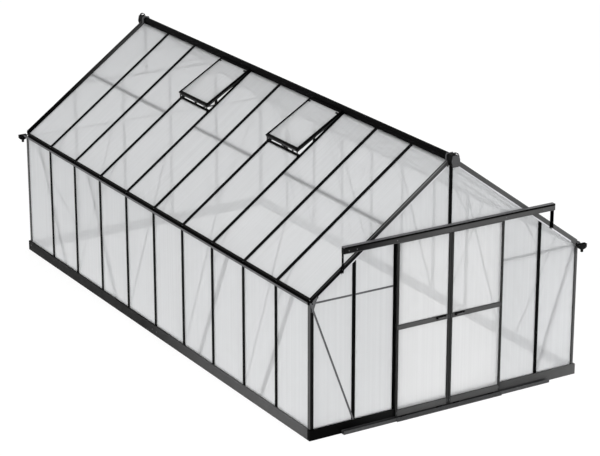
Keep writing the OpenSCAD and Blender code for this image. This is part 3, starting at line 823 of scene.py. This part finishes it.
for low, high in solids("roof_bars"):
    side = side_of(low)
    for start, end in seal_ends(low.y, high.y):
        inner = VENT_FOOT_X if in_vent_bay((start + end) / 2) else RIDGE_X
        kit.prism(roof_outline(side, inner, SHEET_END_X, SEAL_TOP, CAP_T), "y", start, end)
for low, high in solids("gable_rafters"):
    side, way = side_of(low), end_of(low)
    inner_y = way * reach(low.y, high.y)[0]
    ys = sorted((inner_y, inner_y - way * SEAL_W))
    kit.prism(roof_outline(side, RIDGE_X, SHEET_END_X, SEAL_TOP, CAP_T), "y", *ys)
kit.piece("roof_seals", "root", rubber)

# %% [markdown]
# ## Trims on the rafters
# The gable rafters rise past the roof like a kerb. A thin trim covers the top of each face, and a
# pale edging strip runs along its lower edge. Both follow the slope, so they come from the roof's
# own outline, and each is in two runs, with a gap between them.

# %% Trims along the faces of the rafters
RAFTER_RISE = 21.0
RAFTER_D = 34.0
TRIM_H = 11.0
TRIM_T = 1.6
TRIM_RUNS = ((48.0, 1150.0), (1190.0, 1498.0))
EDGING_H = 12.0
EDGING_T = 1.2
EDGING_RUNS = ((48.0, 1155.0), (1185.0, 1425.0))
trim = Kit()
pale = Kit()
for low, high in solids("gable_rafters"):
    side, way = side_of(low), end_of(low)
    ys = sorted((way * GABLE_Y, way * (GABLE_Y + TRIM_T)))
    for start, end in TRIM_RUNS:
        trim.prism(roof_outline(side, start, end, -RAFTER_RISE, TRIM_H - RAFTER_RISE), "y", *ys)
    ys = sorted((way * GABLE_Y, way * (GABLE_Y + EDGING_T)))
    for start, end in EDGING_RUNS:
        pale.prism(roof_outline(side, start, end, RAFTER_D - EDGING_H, RAFTER_D), "y", *ys)
# The trims' coat is a ramp of painted light and shade across the building.
trim.piece("rafter_top_trims", "root", rafter_trim_painted_light_coat)
pale.piece("rafter_pale_edgings", "root", edging)

# %% [markdown]
# ## Eaves
# Rain leaves the roof over a closing strip that covers the sheets' lower ends, and drops into the
# gutter. The gutter's outer lip is rolled over into a bead, which stiffens it.

# %% Closing strips over the lower ends of the roof sheets
CLOSER_IN = 1488.0
CLOSER_OUT = SHEET_END_X + 4
CLOSER_T = 1.2
LIP_T = 2
LIP_H = 12
LIP_TOP = 0.4
CORNER = 40
kit = Kit()
for side in (-1, 1):
    edges_y = sorted(edge for low, high in solids("roof_bars") if (low.x > 0) == (side > 0)
                     for edge in (low.y, high.y))
    ends = [-GABLE_Y + CORNER] + edges_y + [GABLE_Y - CORNER]
    for start, end in zip(ends[::2], ends[1::2]):
        kit.prism(roof_outline(side, CLOSER_IN, CLOSER_OUT, -CLOSER_T, CAP_T), "y", start, end)
        lip = [(side * CLOSER_OUT, roof_z(CLOSER_OUT, -CLOSER_T)),
               (side * (CLOSER_OUT + LIP_T), roof_z(CLOSER_OUT, -LIP_TOP)),
               (side * (CLOSER_OUT + LIP_T), roof_z(CLOSER_OUT, LIP_H)),
               (side * CLOSER_OUT, roof_z(CLOSER_OUT, LIP_H))]
        kit.prism(lip, "y", start, end)
kit.piece("eave_closing_strips", "root", moulded)

# %% Rolled gutter lips
LIP_R = 3.4
kit = Kit()
for low, high in solids("gutter_sides"):
    side = side_of(low)
    centre = side * (reach(low.x, high.x)[1] - LIP_R)
    ring = [(centre + LIP_R * math.cos(2 * math.pi * i / 12),
             high.z + 1.0 + LIP_R * math.sin(2 * math.pi * i / 12)) for i in range(12)]
    kit.prism(ring, "y", low.y, high.y)
kit.piece("gutter_rolled_lips", "root", powder_black)

# %% [markdown]
# ## Gutter outlets
# An outlet is a moulded hopper on the end of a gutter. Its open top catches the water, its walls
# narrow below, and a round spigot takes a hose or a downpipe. Rings that change from a rounded
# rectangle into a circle give that shape in one skin, inside and out.

# %% Hopper rings
def rounded_ring(cx, cy, half_x, half_y, radius, z, per_corner=5):
    ring = []
    for corner, (sx, sy) in enumerate(((1, 1), (-1, 1), (-1, -1), (1, -1))):
        for i in range(per_corner):
            a = math.pi / 2 * (corner + i / (per_corner - 1))
            ring.append((cx + sx * (half_x - radius) + radius * math.cos(a),
                         cy + sy * (half_y - radius) + radius * math.sin(a), z))
    return ring


def collar(cx, cy, radius, z):
    """A round ring, with as many points as the others."""
    return rounded_ring(cx, cy, radius, radius, radius, z)


kit = Kit()
HOPPER_WALL = 3.5
SPIGOT_LENGTH = 26.0
SPIGOT_R = 14.0
BORE_R = 10.0
for low, high in solids("gutter_outlets"):
    cx, cy = (low.x + high.x) / 2, (low.y + high.y) / 2
    hx, hy = (high.x - low.x) / 2, (high.y - low.y) / 2
    top = high.z
    foot = low.z
    neck = foot + SPIGOT_LENGTH
    kit.loft([
        rounded_ring(cx, cy, hx, hy, 5, top),
        rounded_ring(cx, cy, hx, hy, 5, top - 7),
        rounded_ring(cx, cy, hx - 1.5, hy - 1.5, 5, top - 8),
        rounded_ring(cx, cy, hx - 1.5, hy - 1.5, 5, neck + 22),
        rounded_ring(cx, cy, hx - 14, hy - 4, 8, neck + 8),
        collar(cx, cy, 18, neck + 1),
        collar(cx, cy, SPIGOT_R, neck),
        collar(cx, cy, SPIGOT_R, foot + 9),
        collar(cx, cy, SPIGOT_R + 1, foot + 7),
        collar(cx, cy, SPIGOT_R, foot + 5),
        collar(cx, cy, SPIGOT_R - 1, foot),
        collar(cx, cy, BORE_R, foot),
        collar(cx, cy, BORE_R, neck + 6),
        rounded_ring(cx, cy, hx - 17, hy - 7, 7, neck + 11),
        rounded_ring(cx, cy, hx - 1.5 - HOPPER_WALL, hy - 1.5 - HOPPER_WALL, 3, neck + 24),
        rounded_ring(cx, cy, hx - HOPPER_WALL, hy - HOPPER_WALL, 3, top),
    ], ring_shaped=True)
kit.piece("gutter_hoppers", "root", moulded, ["gutter_outlets"])

# %% [markdown]
# ## The ridge
# The ridge beam is one hollow extrusion with raised beads and drip edges, which read from the
# ground as thin light and dark lines. Moulded caps close its ends. Each has a flange that grips
# the beam and stands out like a pair of ears, a narrower throat, a shield-shaped front plate and a
# curled guard on top.

# %% Beads and drip edges along the ridge
RIDGE_TOP = 2499
BEAD_STEP = 8.0
DRIP_Z = 2484
DRIP_W = 3.5
ridge_low, ridge_high = box_mm("ridge_beam")
kit = Kit()
for side in (-1, 1):
    xs = sorted((side * (RIDGE_X - 4.0), side * RIDGE_X))
    kit.block((xs[0], ridge_low.y, ridge_high.z - 12), (xs[1], ridge_high.y, ridge_high.z - 8))
    drip = [(side * RIDGE_X, DRIP_Z), (side * (RIDGE_X + DRIP_W), DRIP_Z - 4),
            (side * (RIDGE_X + DRIP_W), DRIP_Z - 8), (side * RIDGE_X, DRIP_Z - 7)]
    kit.prism(drip, "y", ridge_low.y, ridge_high.y)
for x in (-BEAD_STEP, 0.0, BEAD_STEP):
    bead = [(x - 1.5, RIDGE_TOP), (x + 1.5, RIDGE_TOP), (x + 0.8, RIDGE_TOP + 3), (x - 0.8, RIDGE_TOP + 3)]
    kit.prism(bead, "y", ridge_low.y, ridge_high.y)
kit.piece("ridge_beads", "root", powder_black)

# %% Ridge end caps
def shield(half_low, half_wide, half_high, low, high, corner):
    return [(-half_low, low), (half_low, low), (half_wide, low + corner),
            (half_wide, high - corner), (half_high, high), (-half_high, high),
            (-half_wide, high - corner), (-half_wide, low + corner)]


CAP_TOP = 2506.0
PLATE_T = 9
EAR_T = 12
CURL_X = 4
CURL_Z = 2500
CURL_R = (30.0, 24.5)
CURL_STEPS = 12
kit = Kit()
ears = Kit()
plate = Kit()
arc = [math.radians(200 - 185 * i / CURL_STEPS) for i in range(CURL_STEPS + 1)]
outer_arc, inner_arc = [[(CURL_X + r * math.cos(a), CURL_Z + r * math.sin(a)) for a in arc] for r in CURL_R]
curl = outer_arc + inner_arc[::-1]
for low, high in solids("ridge_end_caps"):
    way = end_of(low)
    inner, outer = [way * y for y in reach(low.y, high.y)]
    plate_back = outer - way * PLATE_T
    throat = sorted((inner + way * PLATE_T, plate_back))
    kit.prism(shield(24, 36, 27, low.z + 2, CAP_TOP - 2, 14), "y", *throat)
    ears.prism(shield(30, 45, 34, low.z, CAP_TOP + 4, 20), "y", *sorted((inner, inner + way * EAR_T)))
    plate.prism(shield(31, 45, 34, low.z, CAP_TOP, 48), "y", *sorted((plate_back, outer)))
    kit.prism(curl, "y", *sorted((outer - way * 30, outer - way * 2)))
kit.piece("ridge_cap_bodies", "root", moulded, ["ridge_end_caps"], edge=1.2)
ears.piece("ridge_cap_ears", "root", ear_coat, edge=1.2)
plate.piece("ridge_cap_plates", "root", plate_coat, edge=1.5)

# %% [markdown]
# ## Roof vents
# A vent is a framed sheet hinged along the ridge. Its own sloping frame of reference makes the
# small pieces easy: u runs down the vent from the hinge, v along the ridge, and w stands up from
# the underside. The vent stands open a crack on its stay, with small props at its sides. Thin
# aprons hang from its open edge and its sides and close part of the gap.

# %% The vent's sloping frame of reference
VENT_T = 14.0
VENT_RIM = 22.0
HINGE_Z = 2442.8


def on_vent(side):
    def put(u, v, w):
        x = RIDGE_X + u * math.cos(VENT_PITCH) + w * math.sin(VENT_PITCH)
        return (side * x, v, HINGE_Z - u * math.sin(VENT_PITCH) + w * math.cos(VENT_PITCH))
    return put


print("vent hinge at height", HINGE_Z)

# %% Hinges, corner joints, glazing strips and aprons
OPEN_BY = PITCH - VENT_PITCH
KNUCKLES = 9
JOINT_ARM = 60
STRIP = 2.0
APRON_H = 18.0
APRON_T = 2.5
aprons = Kit()
hinges = Kit()
joints = Kit()
strips = Kit()
for low, high in solids("vent_frames"):
    side = side_of(low)
    put = on_vent(side)
    length = (reach(low.x, high.x)[1] - RIDGE_X) / math.cos(VENT_PITCH)
    pitch = (high.y - low.y) / KNUCKLES
    for i in range(KNUCKLES):
        spot = put(5.0, low.y + i * pitch + 1.5, VENT_T + 3.0)
        hinges.turned([(4.2, 0), (5, 0.8), (5, pitch - 3.8), (4.2, pitch - 3.0)], spot, (0, 1, 0))
    hinges.slab(put, (0, low.y, VENT_T - 0.5), (26, high.y, VENT_T + 1.6))
    for v, step in ((low.y, 1), (high.y, -1)):
        for u, down in ((34.0, 1), (length, -1)):
            us = sorted((u, u + down * JOINT_ARM))
            vs = sorted((v, v + step * (VENT_RIM - 3)))
            joints.slab(put, (us[0], vs[0], VENT_T - 0.3), (us[1], vs[1], VENT_T + 1.4))
            us = sorted((u, u + down * (VENT_RIM - 3)))
            vs = sorted((v, v + step * JOINT_ARM))
            joints.slab(put, (us[0], vs[0], VENT_T - 0.3), (us[1], vs[1], VENT_T + 1.2))
    rim = VENT_RIM - 1.0
    top = VENT_T - 1.5
    for low_uv, high_uv in (((rim, low.y + rim), (rim + STRIP, high.y - rim)),
                            ((length - rim - STRIP, low.y + rim), (length - rim, high.y - rim)),
                            ((rim, low.y + rim), (length - rim, low.y + rim + STRIP)),
                            ((rim, high.y - rim - STRIP), (length - rim, high.y - rim))):
        strips.slab(put, (*low_uv, 10), (*high_uv, top))
    joints.slab(put, (length - 1, low.y, VENT_T - 3), (length + 1.5, high.y, VENT_T + 1.0))
    joints.slab(put, (length - 40, low.y - 1.5, VENT_T - 4), (length, low.y, VENT_T + 1.5))
    aprons.slab(put, (length - 3, low.y, -APRON_H), (length + 1.2, high.y, VENT_T + 0.5))
    for v in (low.y, high.y - APRON_T):
        rings = []
        for at in (v, v + APRON_T):
            rings.append([put(0, at, 0), put(length, at, 0), put(length, at, -APRON_H),
                          put(APRON_H / math.sin(OPEN_BY), at, -APRON_H)])
        aprons.loft(rings)
aprons.piece("vent_aprons", "root", apron_coat)
hinges.piece("vent_hinges", "root", powder_black)
joints.piece("vent_corner_joints", "root", powder_black)
strips.piece("vent_glazing_strips", "root", rubber)

# %% Slim sills under the open edges
SILL_W = 15.0
SILL_PROUD = 2.6
SILL_DEEP = 12
TONGUE_W = 6
TONGUE_TOP = 3
TONGUE_FOOT = 6
kit = Kit()
for low, high in solids("vent_sills"):
    side = side_of(low)
    outer = reach(low.x, high.x)[1]
    inner = outer - SILL_W
    kit.prism(roof_outline(side, inner, outer, -SILL_PROUD, SILL_DEEP), "y", low.y, high.y)
    tongue = roof_outline(side, inner - TONGUE_W, inner, TONGUE_TOP, TONGUE_FOOT)
    kit.prism(tongue, "y", low.y, high.y)
kit.piece("vent_sill_bars", "root", powder_black, ["vent_sills"], edge=0.6)

# %% Stays with pegs and a knob
ARM_HALF = 6
ARM_T = 6
SHOE_HALF = 16
PEG_SHARES = (0.3, 0.55, 0.8)
KNOB_SHARE = 0.42
stays = Kit()
for low, high in solids("vent_stays"):
    side = side_of(low)
    mid_y = (low.y + high.y) / 2
    near_x, far_x = reach(low.x, high.x)
    foot_x, head_x = near_x + 8, far_x - 8
    foot_z, head_z = roof_z(foot_x, -3), high.z - 2

    def along_arm(share):
        return side * (foot_x + (head_x - foot_x) * share), foot_z + (head_z - foot_z) * share

    arm = [(side * (foot_x - ARM_HALF), foot_z), (side * (foot_x + ARM_HALF), foot_z),
           (side * (head_x + ARM_HALF), head_z - 4), (side * (head_x - ARM_HALF), head_z)]
    stays.prism(arm, "y", mid_y - ARM_T / 2, mid_y + ARM_T / 2)
    shoe = roof_outline(side, foot_x - 8, foot_x + 9, -8, -2)
    stays.prism(shoe, "y", mid_y - SHOE_HALF, mid_y + SHOE_HALF)
    for share in PEG_SHARES:
        x, z = along_arm(share)
        stays.turned([(2.6, 0), (2.6, 9)], (x, mid_y + 4.5, z), (0, -1, 0), 8)
    x, z = along_arm(KNOB_SHARE)
    stays.turned([(6, 0), (7, 1), (7, 7), (5, 9)], (x, mid_y - 3, z), (0, -1, 0))
stays.piece("vent_stays_pegged", "root", moulded, ["vent_stays"], edge=0.8)

# %% Small props at the vents' sides
PROP_U = 597.0
PROP_HALF = 5
FLANGE_HALF = 14
props = Kit()
prop_x = RIDGE_X + PROP_U * math.cos(VENT_PITCH)
under = HINGE_Z - PROP_U * math.sin(VENT_PITCH)
for low, high in solids("vent_frames"):
    side = side_of(low)
    for v, step in ((low.y + 5, 1), (high.y - 5, -1)):
        xs = sorted((side * (prop_x - PROP_HALF), side * (prop_x + PROP_HALF)))
        vs = sorted((v, v + step * 7))
        props.block((xs[0], vs[0], roof_z(prop_x + PROP_HALF)), (xs[1], vs[1], under + 2))
        vs = sorted((v - step * 2, v + step * 9))
        flange = roof_outline(side, prop_x - FLANGE_HALF, prop_x + FLANGE_HALF, -3, 0.2)
        props.prism(flange, "y", *vs)
props.piece("vent_side_props", "root", moulded, edge=0.6)

# %% [markdown]
# ## Bolts and screws
# The frame is bolted together wherever two bars meet. A button-head bolt is a domed head with a
# round recess, over a thin washer, and both are turned profiles. One function makes it at any
# place and in any direction.

# %% A button-head bolt
def bolt(kit, place, way, radius=5.0):
    tall = radius * 0.62
    kit.turned([(radius * 1.5, -0.2), (radius * 1.5, 0.9), (radius * 1.4, 1.1)], place, way, 14)
    kit.turned([(radius, 0.9), (radius, 1.1 + tall * 0.4), (radius * 0.8, 1.1 + tall * 0.85),
                (radius * 0.55, 1.1 + tall), (radius * 0.5, 1.1 + tall),
                (radius * 0.42, 1.1 + tall * 0.35)], place, way, 10)


print("bolt ready")

# %% Spots and faces for bolts
BACK_BOLT = 4.0
BRACE_BOLT = 4.6
BASE_BOLT = 5.5
RAIL_SCREW = 3.6
TRACK_SCREW = 3.2
LEAF_SCREW = 3.0


def ends_of(low, high, rising, inset):
    """Two spots on a straight brace's middle line, a distance in from its ends."""
    start = Vector((low.x, low.y, low.z if rising else high.z))
    end = Vector((high.x, high.y, high.z if rising else low.z))
    along = (end - start).normalized()
    return start + along * inset, end - along * inset


def free_face(low, high, sheet_y):
    """The y of a plate's free face at a gable's sheet, and the way that this face looks."""
    way = end_of(low)
    near, far = reach(low.y, high.y)
    return (way * far, way) if far > sheet_y else (way * near, -way)


print("bolt radii", TRACK_SCREW, "to", BASE_BOLT)

# %% Bolts through the struts, knees, ties and braces
kit = Kit()
for low, high in solids("frame_struts"):
    for spot in ends_of(low, high, low.x < 0, 22):
        bolt(kit, (spot.x, low.y, spot.z), (0, -1, 0))
        bolt(kit, (spot.x, high.y, spot.z), (0, 1, 0), BACK_BOLT)
for low, high in solids("collar_ties"):
    mid = (low.z + high.z) / 2
    for x in (low.x + 24, high.x - 24):
        bolt(kit, (x, low.y, mid), (0, -1, 0))
kit.piece("frame_bolts", "root", blackened)

# %% Gusset plates: ribs along their edges, and bolts
RIB_T = 1.6
RIB_W = 7
ribs = Kit()
kit = Kit()
for low, high in solids("eave_gussets"):
    side = side_of(low)
    face, out = free_face(low, high, GABLE_Y + 1)
    inner, wall = reach(low.x, high.x)
    wall -= 2
    ys = sorted((face, face + out * RIB_T))
    xs = sorted((side * wall, side * (wall - RIB_W)))
    ribs.block((xs[0], ys[0], low.z + 2), (xs[1], ys[1], roof_z(wall, 14)))
    ribs.prism(roof_outline(side, inner + 2, wall, 3, 11), "y", *ys)
    for x, z in ((wall - 16, low.z + 22), (wall - 16, low.z + 62),
                 (inner + 20, roof_z(inner + 20, 26)), (wall - 20, roof_z(wall - 20, 26))):
        bolt(kit, (side * x, face, z), (0, out, 0), BRACE_BOLT)
ribs.piece("gusset_ribs", "root", powder_black)

# %% Bolts along the gable ties and at the brace feet
TIE_H = 30
for low, high in solids("gable_bracing"):
    face, out = free_face(low, high, GABLE_Y - 5)
    if high.z - low.z < TIE_H:
        mid = (low.z + high.z) / 2
        spots = ((low.x + 14, mid), (high.x - 14, mid))
    else:
        side = side_of(low)
        inner, outer = reach(low.x, high.x)
        spots = ((side * (inner + 16), low.z + 12), (side * (outer - 22), high.z - 24))
    for x, z in spots:
        bolt(kit, (x, face, z), (0, out, 0), BRACE_BOLT)
kit.piece("gable_bolts", "root", blackened)

# %% Screws in the base ring
kit = Kit()
for low, high in solids("side_bases"):
    side = side_of(low)
    face = side * reach(low.x, high.x)[1]
    joint_y, corner_y = (high.y, low.y) if low.y < -10 else (low.y, high.y)
    inwards = 1 if corner_y < 0 else -1
    bolt(kit, (face, joint_y - inwards * 45, 52), (side, 0, 0), BASE_BOLT)
    bolt(kit, (face, corner_y + inwards * 22, 66), (side, 0, 0), BASE_BOLT)
kit.piece("base_screws", "root", blackened)

# %% [markdown]
# ## Door rail and track
# The two leaves hang on a rail across the gable and are guided by a track on the ground. The rail
# is screwed to the frame and its ends are plugged. A hood lies along its top, a drip lip on the
# hood's front edge throws the rain clear of the rollers, and a narrow lip edges the rail's foot.

# %% Plugs in the rail's ends
rail_low, rail_high = box_mm("door_rail")
kit = Kit()
for side in (-1, 1):
    end = side * rail_high.x
    xs = sorted((end - side * 0.5, end + side * 3.0))
    kit.block((xs[0], rail_low.y + 1.5, rail_low.z + 1.5), (xs[1], rail_high.y - 1, rail_high.z - 1.5))
kit.piece("rail_end_plugs", "root", moulded, edge=1.0)

# %% Hood, drip lip and foot lip, each one outline pushed along the rail
HOOD = 10.0
DRIP_OUT = 2.5
FOOT_OUT = 2


def along_rail(name, outline, finish, edge=0.0):
    kit = Kit()
    kit.prism(outline, "x", rail_low.x, rail_high.x)
    kit.piece(name, "root", finish, edge=edge)


front, back, foot, head = rail_low.y, rail_high.y, rail_low.z, rail_high.z
along_rail("rail_hood", [(back, head), (back, head + HOOD), (front, head + HOOD), (front, head)],
           hood_coat, edge=0.8)
along_rail("rail_drip_lip", [(front, head + HOOD - 0.5), (front - DRIP_OUT, head + HOOD - 3),
                             (front - DRIP_OUT, head - 7), (front, head - 9)], powder_black)
along_rail("rail_foot_lip", [(front, foot + 5), (front - FOOT_OUT, foot + 4),
                             (front - FOOT_OUT, foot), (front, foot)], powder_grey)

# %% Screws in the rail, its brackets and the track
RAIL_SCREWS_X = (-1130, -1044, -610, 0, 610, 1044, 1130)
TRACK_SCREWS_X = (-1150, -900, 900, 1150)
kit = Kit()
for x in RAIL_SCREWS_X:
    bolt(kit, (x, front, foot + 26), (0, -1, 0), RAIL_SCREW)
for low, high in solids("rail_brackets"):
    side = side_of(low)
    outer = side * reach(low.x, high.x)[1]
    for z in (low.z + 30, low.z + 90, low.z + 150):
        bolt(kit, (outer, (low.y + high.y) / 2, z), (side, 0, 0), RAIL_SCREW)
for x in TRACK_SCREWS_X:
    bolt(kit, (x, box_mm("door_track")[0].y, 12), (0, -1, 0), TRACK_SCREW)
kit.piece("rail_and_track_screws", "root", blackened)

# %% [markdown]
# ## The threshold
# A low ramp in front of the track lets a barrow roll in. Its slope is ribbed, so that wet boots
# grip, and the profile is one extrusion.

# %% Ribbed ramp
RIBS = 5
NOSE = 2.0
RIB_DROP = 1.6
low, high = box_mm("threshold")
depth = high.y - low.y
ramp = [(high.y, high.z), (high.y, low.z), (low.y, low.z), (low.y, low.z + NOSE)]
for i in range(RIBS):
    start = low.y + depth * i / RIBS
    level = low.z + NOSE + (high.z - low.z - NOSE) * (i + 1) / RIBS
    ramp += [(start + 0.3, level), (start + depth / RIBS * 0.55, level),
             (start + depth / RIBS * 0.6, level - RIB_DROP), (start + depth / RIBS, level - RIB_DROP)]
ramp[-1] = (high.y - 0.2, high.z - RIB_DROP)
kit = Kit()
kit.prism(ramp, "x", low.x, high.x)
kit.piece("ribbed_threshold", "root", powder_grey, ["threshold"])

# %% [markdown]
# ## The sliding leaves
# Each leaf is a frame of four bars and a middle rail, with a sheet behind each opening. Black
# glazing beads hold the sheets, screws join the bars, a brush seals the lower edge, wheels run
# along the rail's ledge, and a bow handle is fixed to the middle rail. Everything on a leaf rides
# on that leaf, so it moves when the door slides.

# %% Beads, screws and brush of a leaf
LEAVES = ("left_door", "right_door")
TUFTS = 110
STILE = 22.0
MID_RAIL = (908.5, 951.5)
LOW_RAIL_TOP = 102.0
BEAD = 3.0
TOP_RAIL_FOOT = 1756.0


def dress_leaf(body):
    """Glazing beads on both faces of each pane, screws where bars meet, and a brush below."""
    low, high = box_mm(body + "_frame")
    panes = ((LOW_RAIL_TOP, MID_RAIL[0]), (MID_RAIL[1], TOP_RAIL_FOOT))
    inner = (low.x + STILE, high.x - STILE)
    face = low.y

    beads = Kit()
    for z0, z1 in panes:
        for x0, x1, a, b in ((inner[0], inner[0] + BEAD, z0, z1),
                             (inner[1] - BEAD, inner[1], z0, z1),
                             (inner[0] + BEAD, inner[1] - BEAD, z0, z0 + BEAD),
                             (inner[0] + BEAD, inner[1] - BEAD, z1 - BEAD, z1)):
            beads.block((x0, face + 1.5, a), (x1, face + 6, b))
            beads.block((x0, face + 12, a), (x1, face + 16.5, b))
    beads.piece(body + "_glazing_beads", body, rubber, edge=0.8)

    screws = Kit()
    for x in (low.x + 11, high.x - 11):
        for z in (low.z + 26, LOW_RAIL_TOP - 24, MID_RAIL[0] + 13, MID_RAIL[1] - 13,
                  TOP_RAIL_FOOT + 8):
            bolt(screws, (x, face, z), (0, -1, 0), LEAF_SCREW)
    screws.piece(body + "_screws", body, blackened)

    tufts = Kit()
    pitch = (high.x - low.x - 8) / TUFTS
    for i in range(TUFTS):
        x = low.x + 4 + i * pitch
        lean = 1.2 if i % 2 else -1.2
        foot = [(x + lean, face + 6), (x + lean + pitch * 0.7, face + 6),
                (x + lean + pitch * 0.7, face + 12), (x + lean, face + 12)]
        head = [(x, face + 5), (x + pitch * 0.9, face + 5), (x + pitch * 0.9, face + 13),
                (x, face + 13)]
        tufts.loft([[(a, b, low.z - 3.5) for a, b in foot], [(a, b, low.z + 0.5) for a, b in head]])
    tufts.piece(body + "_brush_seal", body, brush)


for body in LEAVES:
    dress_leaf(body)

# %% Wheels and floor guides
GUIDES_BELOW = 500
WHEEL_W = 9.0


def roll_leaf(body):
    """Grooved wheels with an axle and its nut up at the rail, and blocks down in the track."""
    name = body + "_rollers"
    kit = Kit()
    for low, high in solids(name):
        mid_x = (low.x + high.x) / 2
        if low.z < GUIDES_BELOW:
            guide = [(low.x, high.z), (high.x, high.z), (high.x, low.z + 4), (high.x - 4, low.z),
                     (low.x + 4, low.z), (low.x, low.z + 4)]
            kit.prism(guide, "y", low.y, high.y)
            continue
        r = (high.x - low.x) / 2
        mid_z = (low.z + high.z) / 2
        w = WHEEL_W
        kit.turned([(r - 1, 0), (r, 0.8), (r, 2.2), (r - 3, 3.4), (r - 3, w - 3.4), (r, w - 2.2),
                    (r, w - 0.8), (r - 1, w), (5, w), (4.5, w - 1.5), (2.5, w - 1.5)],
                   (mid_x, high.y - w, mid_z), (0, 1, 0), 28)
        kit.turned([(3.6, 0), (3.6, 7)], (mid_x, low.y, mid_z), (0, 1, 0), 12)
        kit.turned([(6.5, 0), (6.5, 2.5)], (mid_x, low.y, mid_z), (0, 1, 0), 6)
    kit.piece(body + "_wheels", body, moulded, [name])


for body in LEAVES:
    roll_leaf(body)

# %% Bow handles
LEG = 13.0
LEG_RINGS = 7
GRIP_RINGS = 13
GRIP_POINTS = 14


def bow(body):
    """A mounting plate, two legs and a grip that bows out from the middle rail."""
    low, high = box_mm(body + "_handle")
    back, front = high.y, low.y
    mid_z = (low.z + high.z) / 2
    base = Kit()
    base.block((low.x + 2, back - 4, mid_z - 13), (high.x - 2, back, mid_z + 13))
    for x, sign in ((low.x, 1), (high.x, -1)):
        ring = []
        for t in range(LEG_RINGS):
            f = t / (LEG_RINGS - 1)
            out = back - 3 + (front + 5 - back + 3) * f
            shift = sign * 10 * (1 - math.cos(f * math.pi / 2))
            half = 8.5 - 2.5 * f
            xs = sorted((x + shift, x + shift + sign * LEG))
            ring.append([(xs[0], out, mid_z - half), (xs[1], out, mid_z - half),
                         (xs[1], out, mid_z + half), (xs[0], out, mid_z + half)])
        base.loft(ring)
    base.piece(body + "_handle_legs", body, moulded, [body + "_handle"], edge=1.2)
    grip = Kit()
    rings = []
    for i in range(GRIP_RINGS):
        f = i / (GRIP_RINGS - 1)
        x = low.x + 8 + (high.x - low.x - 16) * f
        swell = 1.2 * math.sin(math.pi * f)
        rings.append([(x, front + 4.4 + (4.2 + swell * 0.1) * math.cos(a),
                       mid_z + (7.5 + swell) * math.sin(a))
                      for a in [2 * math.pi * k / GRIP_POINTS for k in range(GRIP_POINTS)]])
    grip.loft(rings)
    grip.piece(body + "_handle_grip", body, powder_grey)
    heads = Kit()
    for x in (low.x + 22, high.x - 22):
        bolt(heads, (x, back - 4, mid_z), (0, -1, 0), LEAF_SCREW)
    heads.piece(body + "_handle_screws", body, blackened)


for body in LEAVES:
    bow(body)
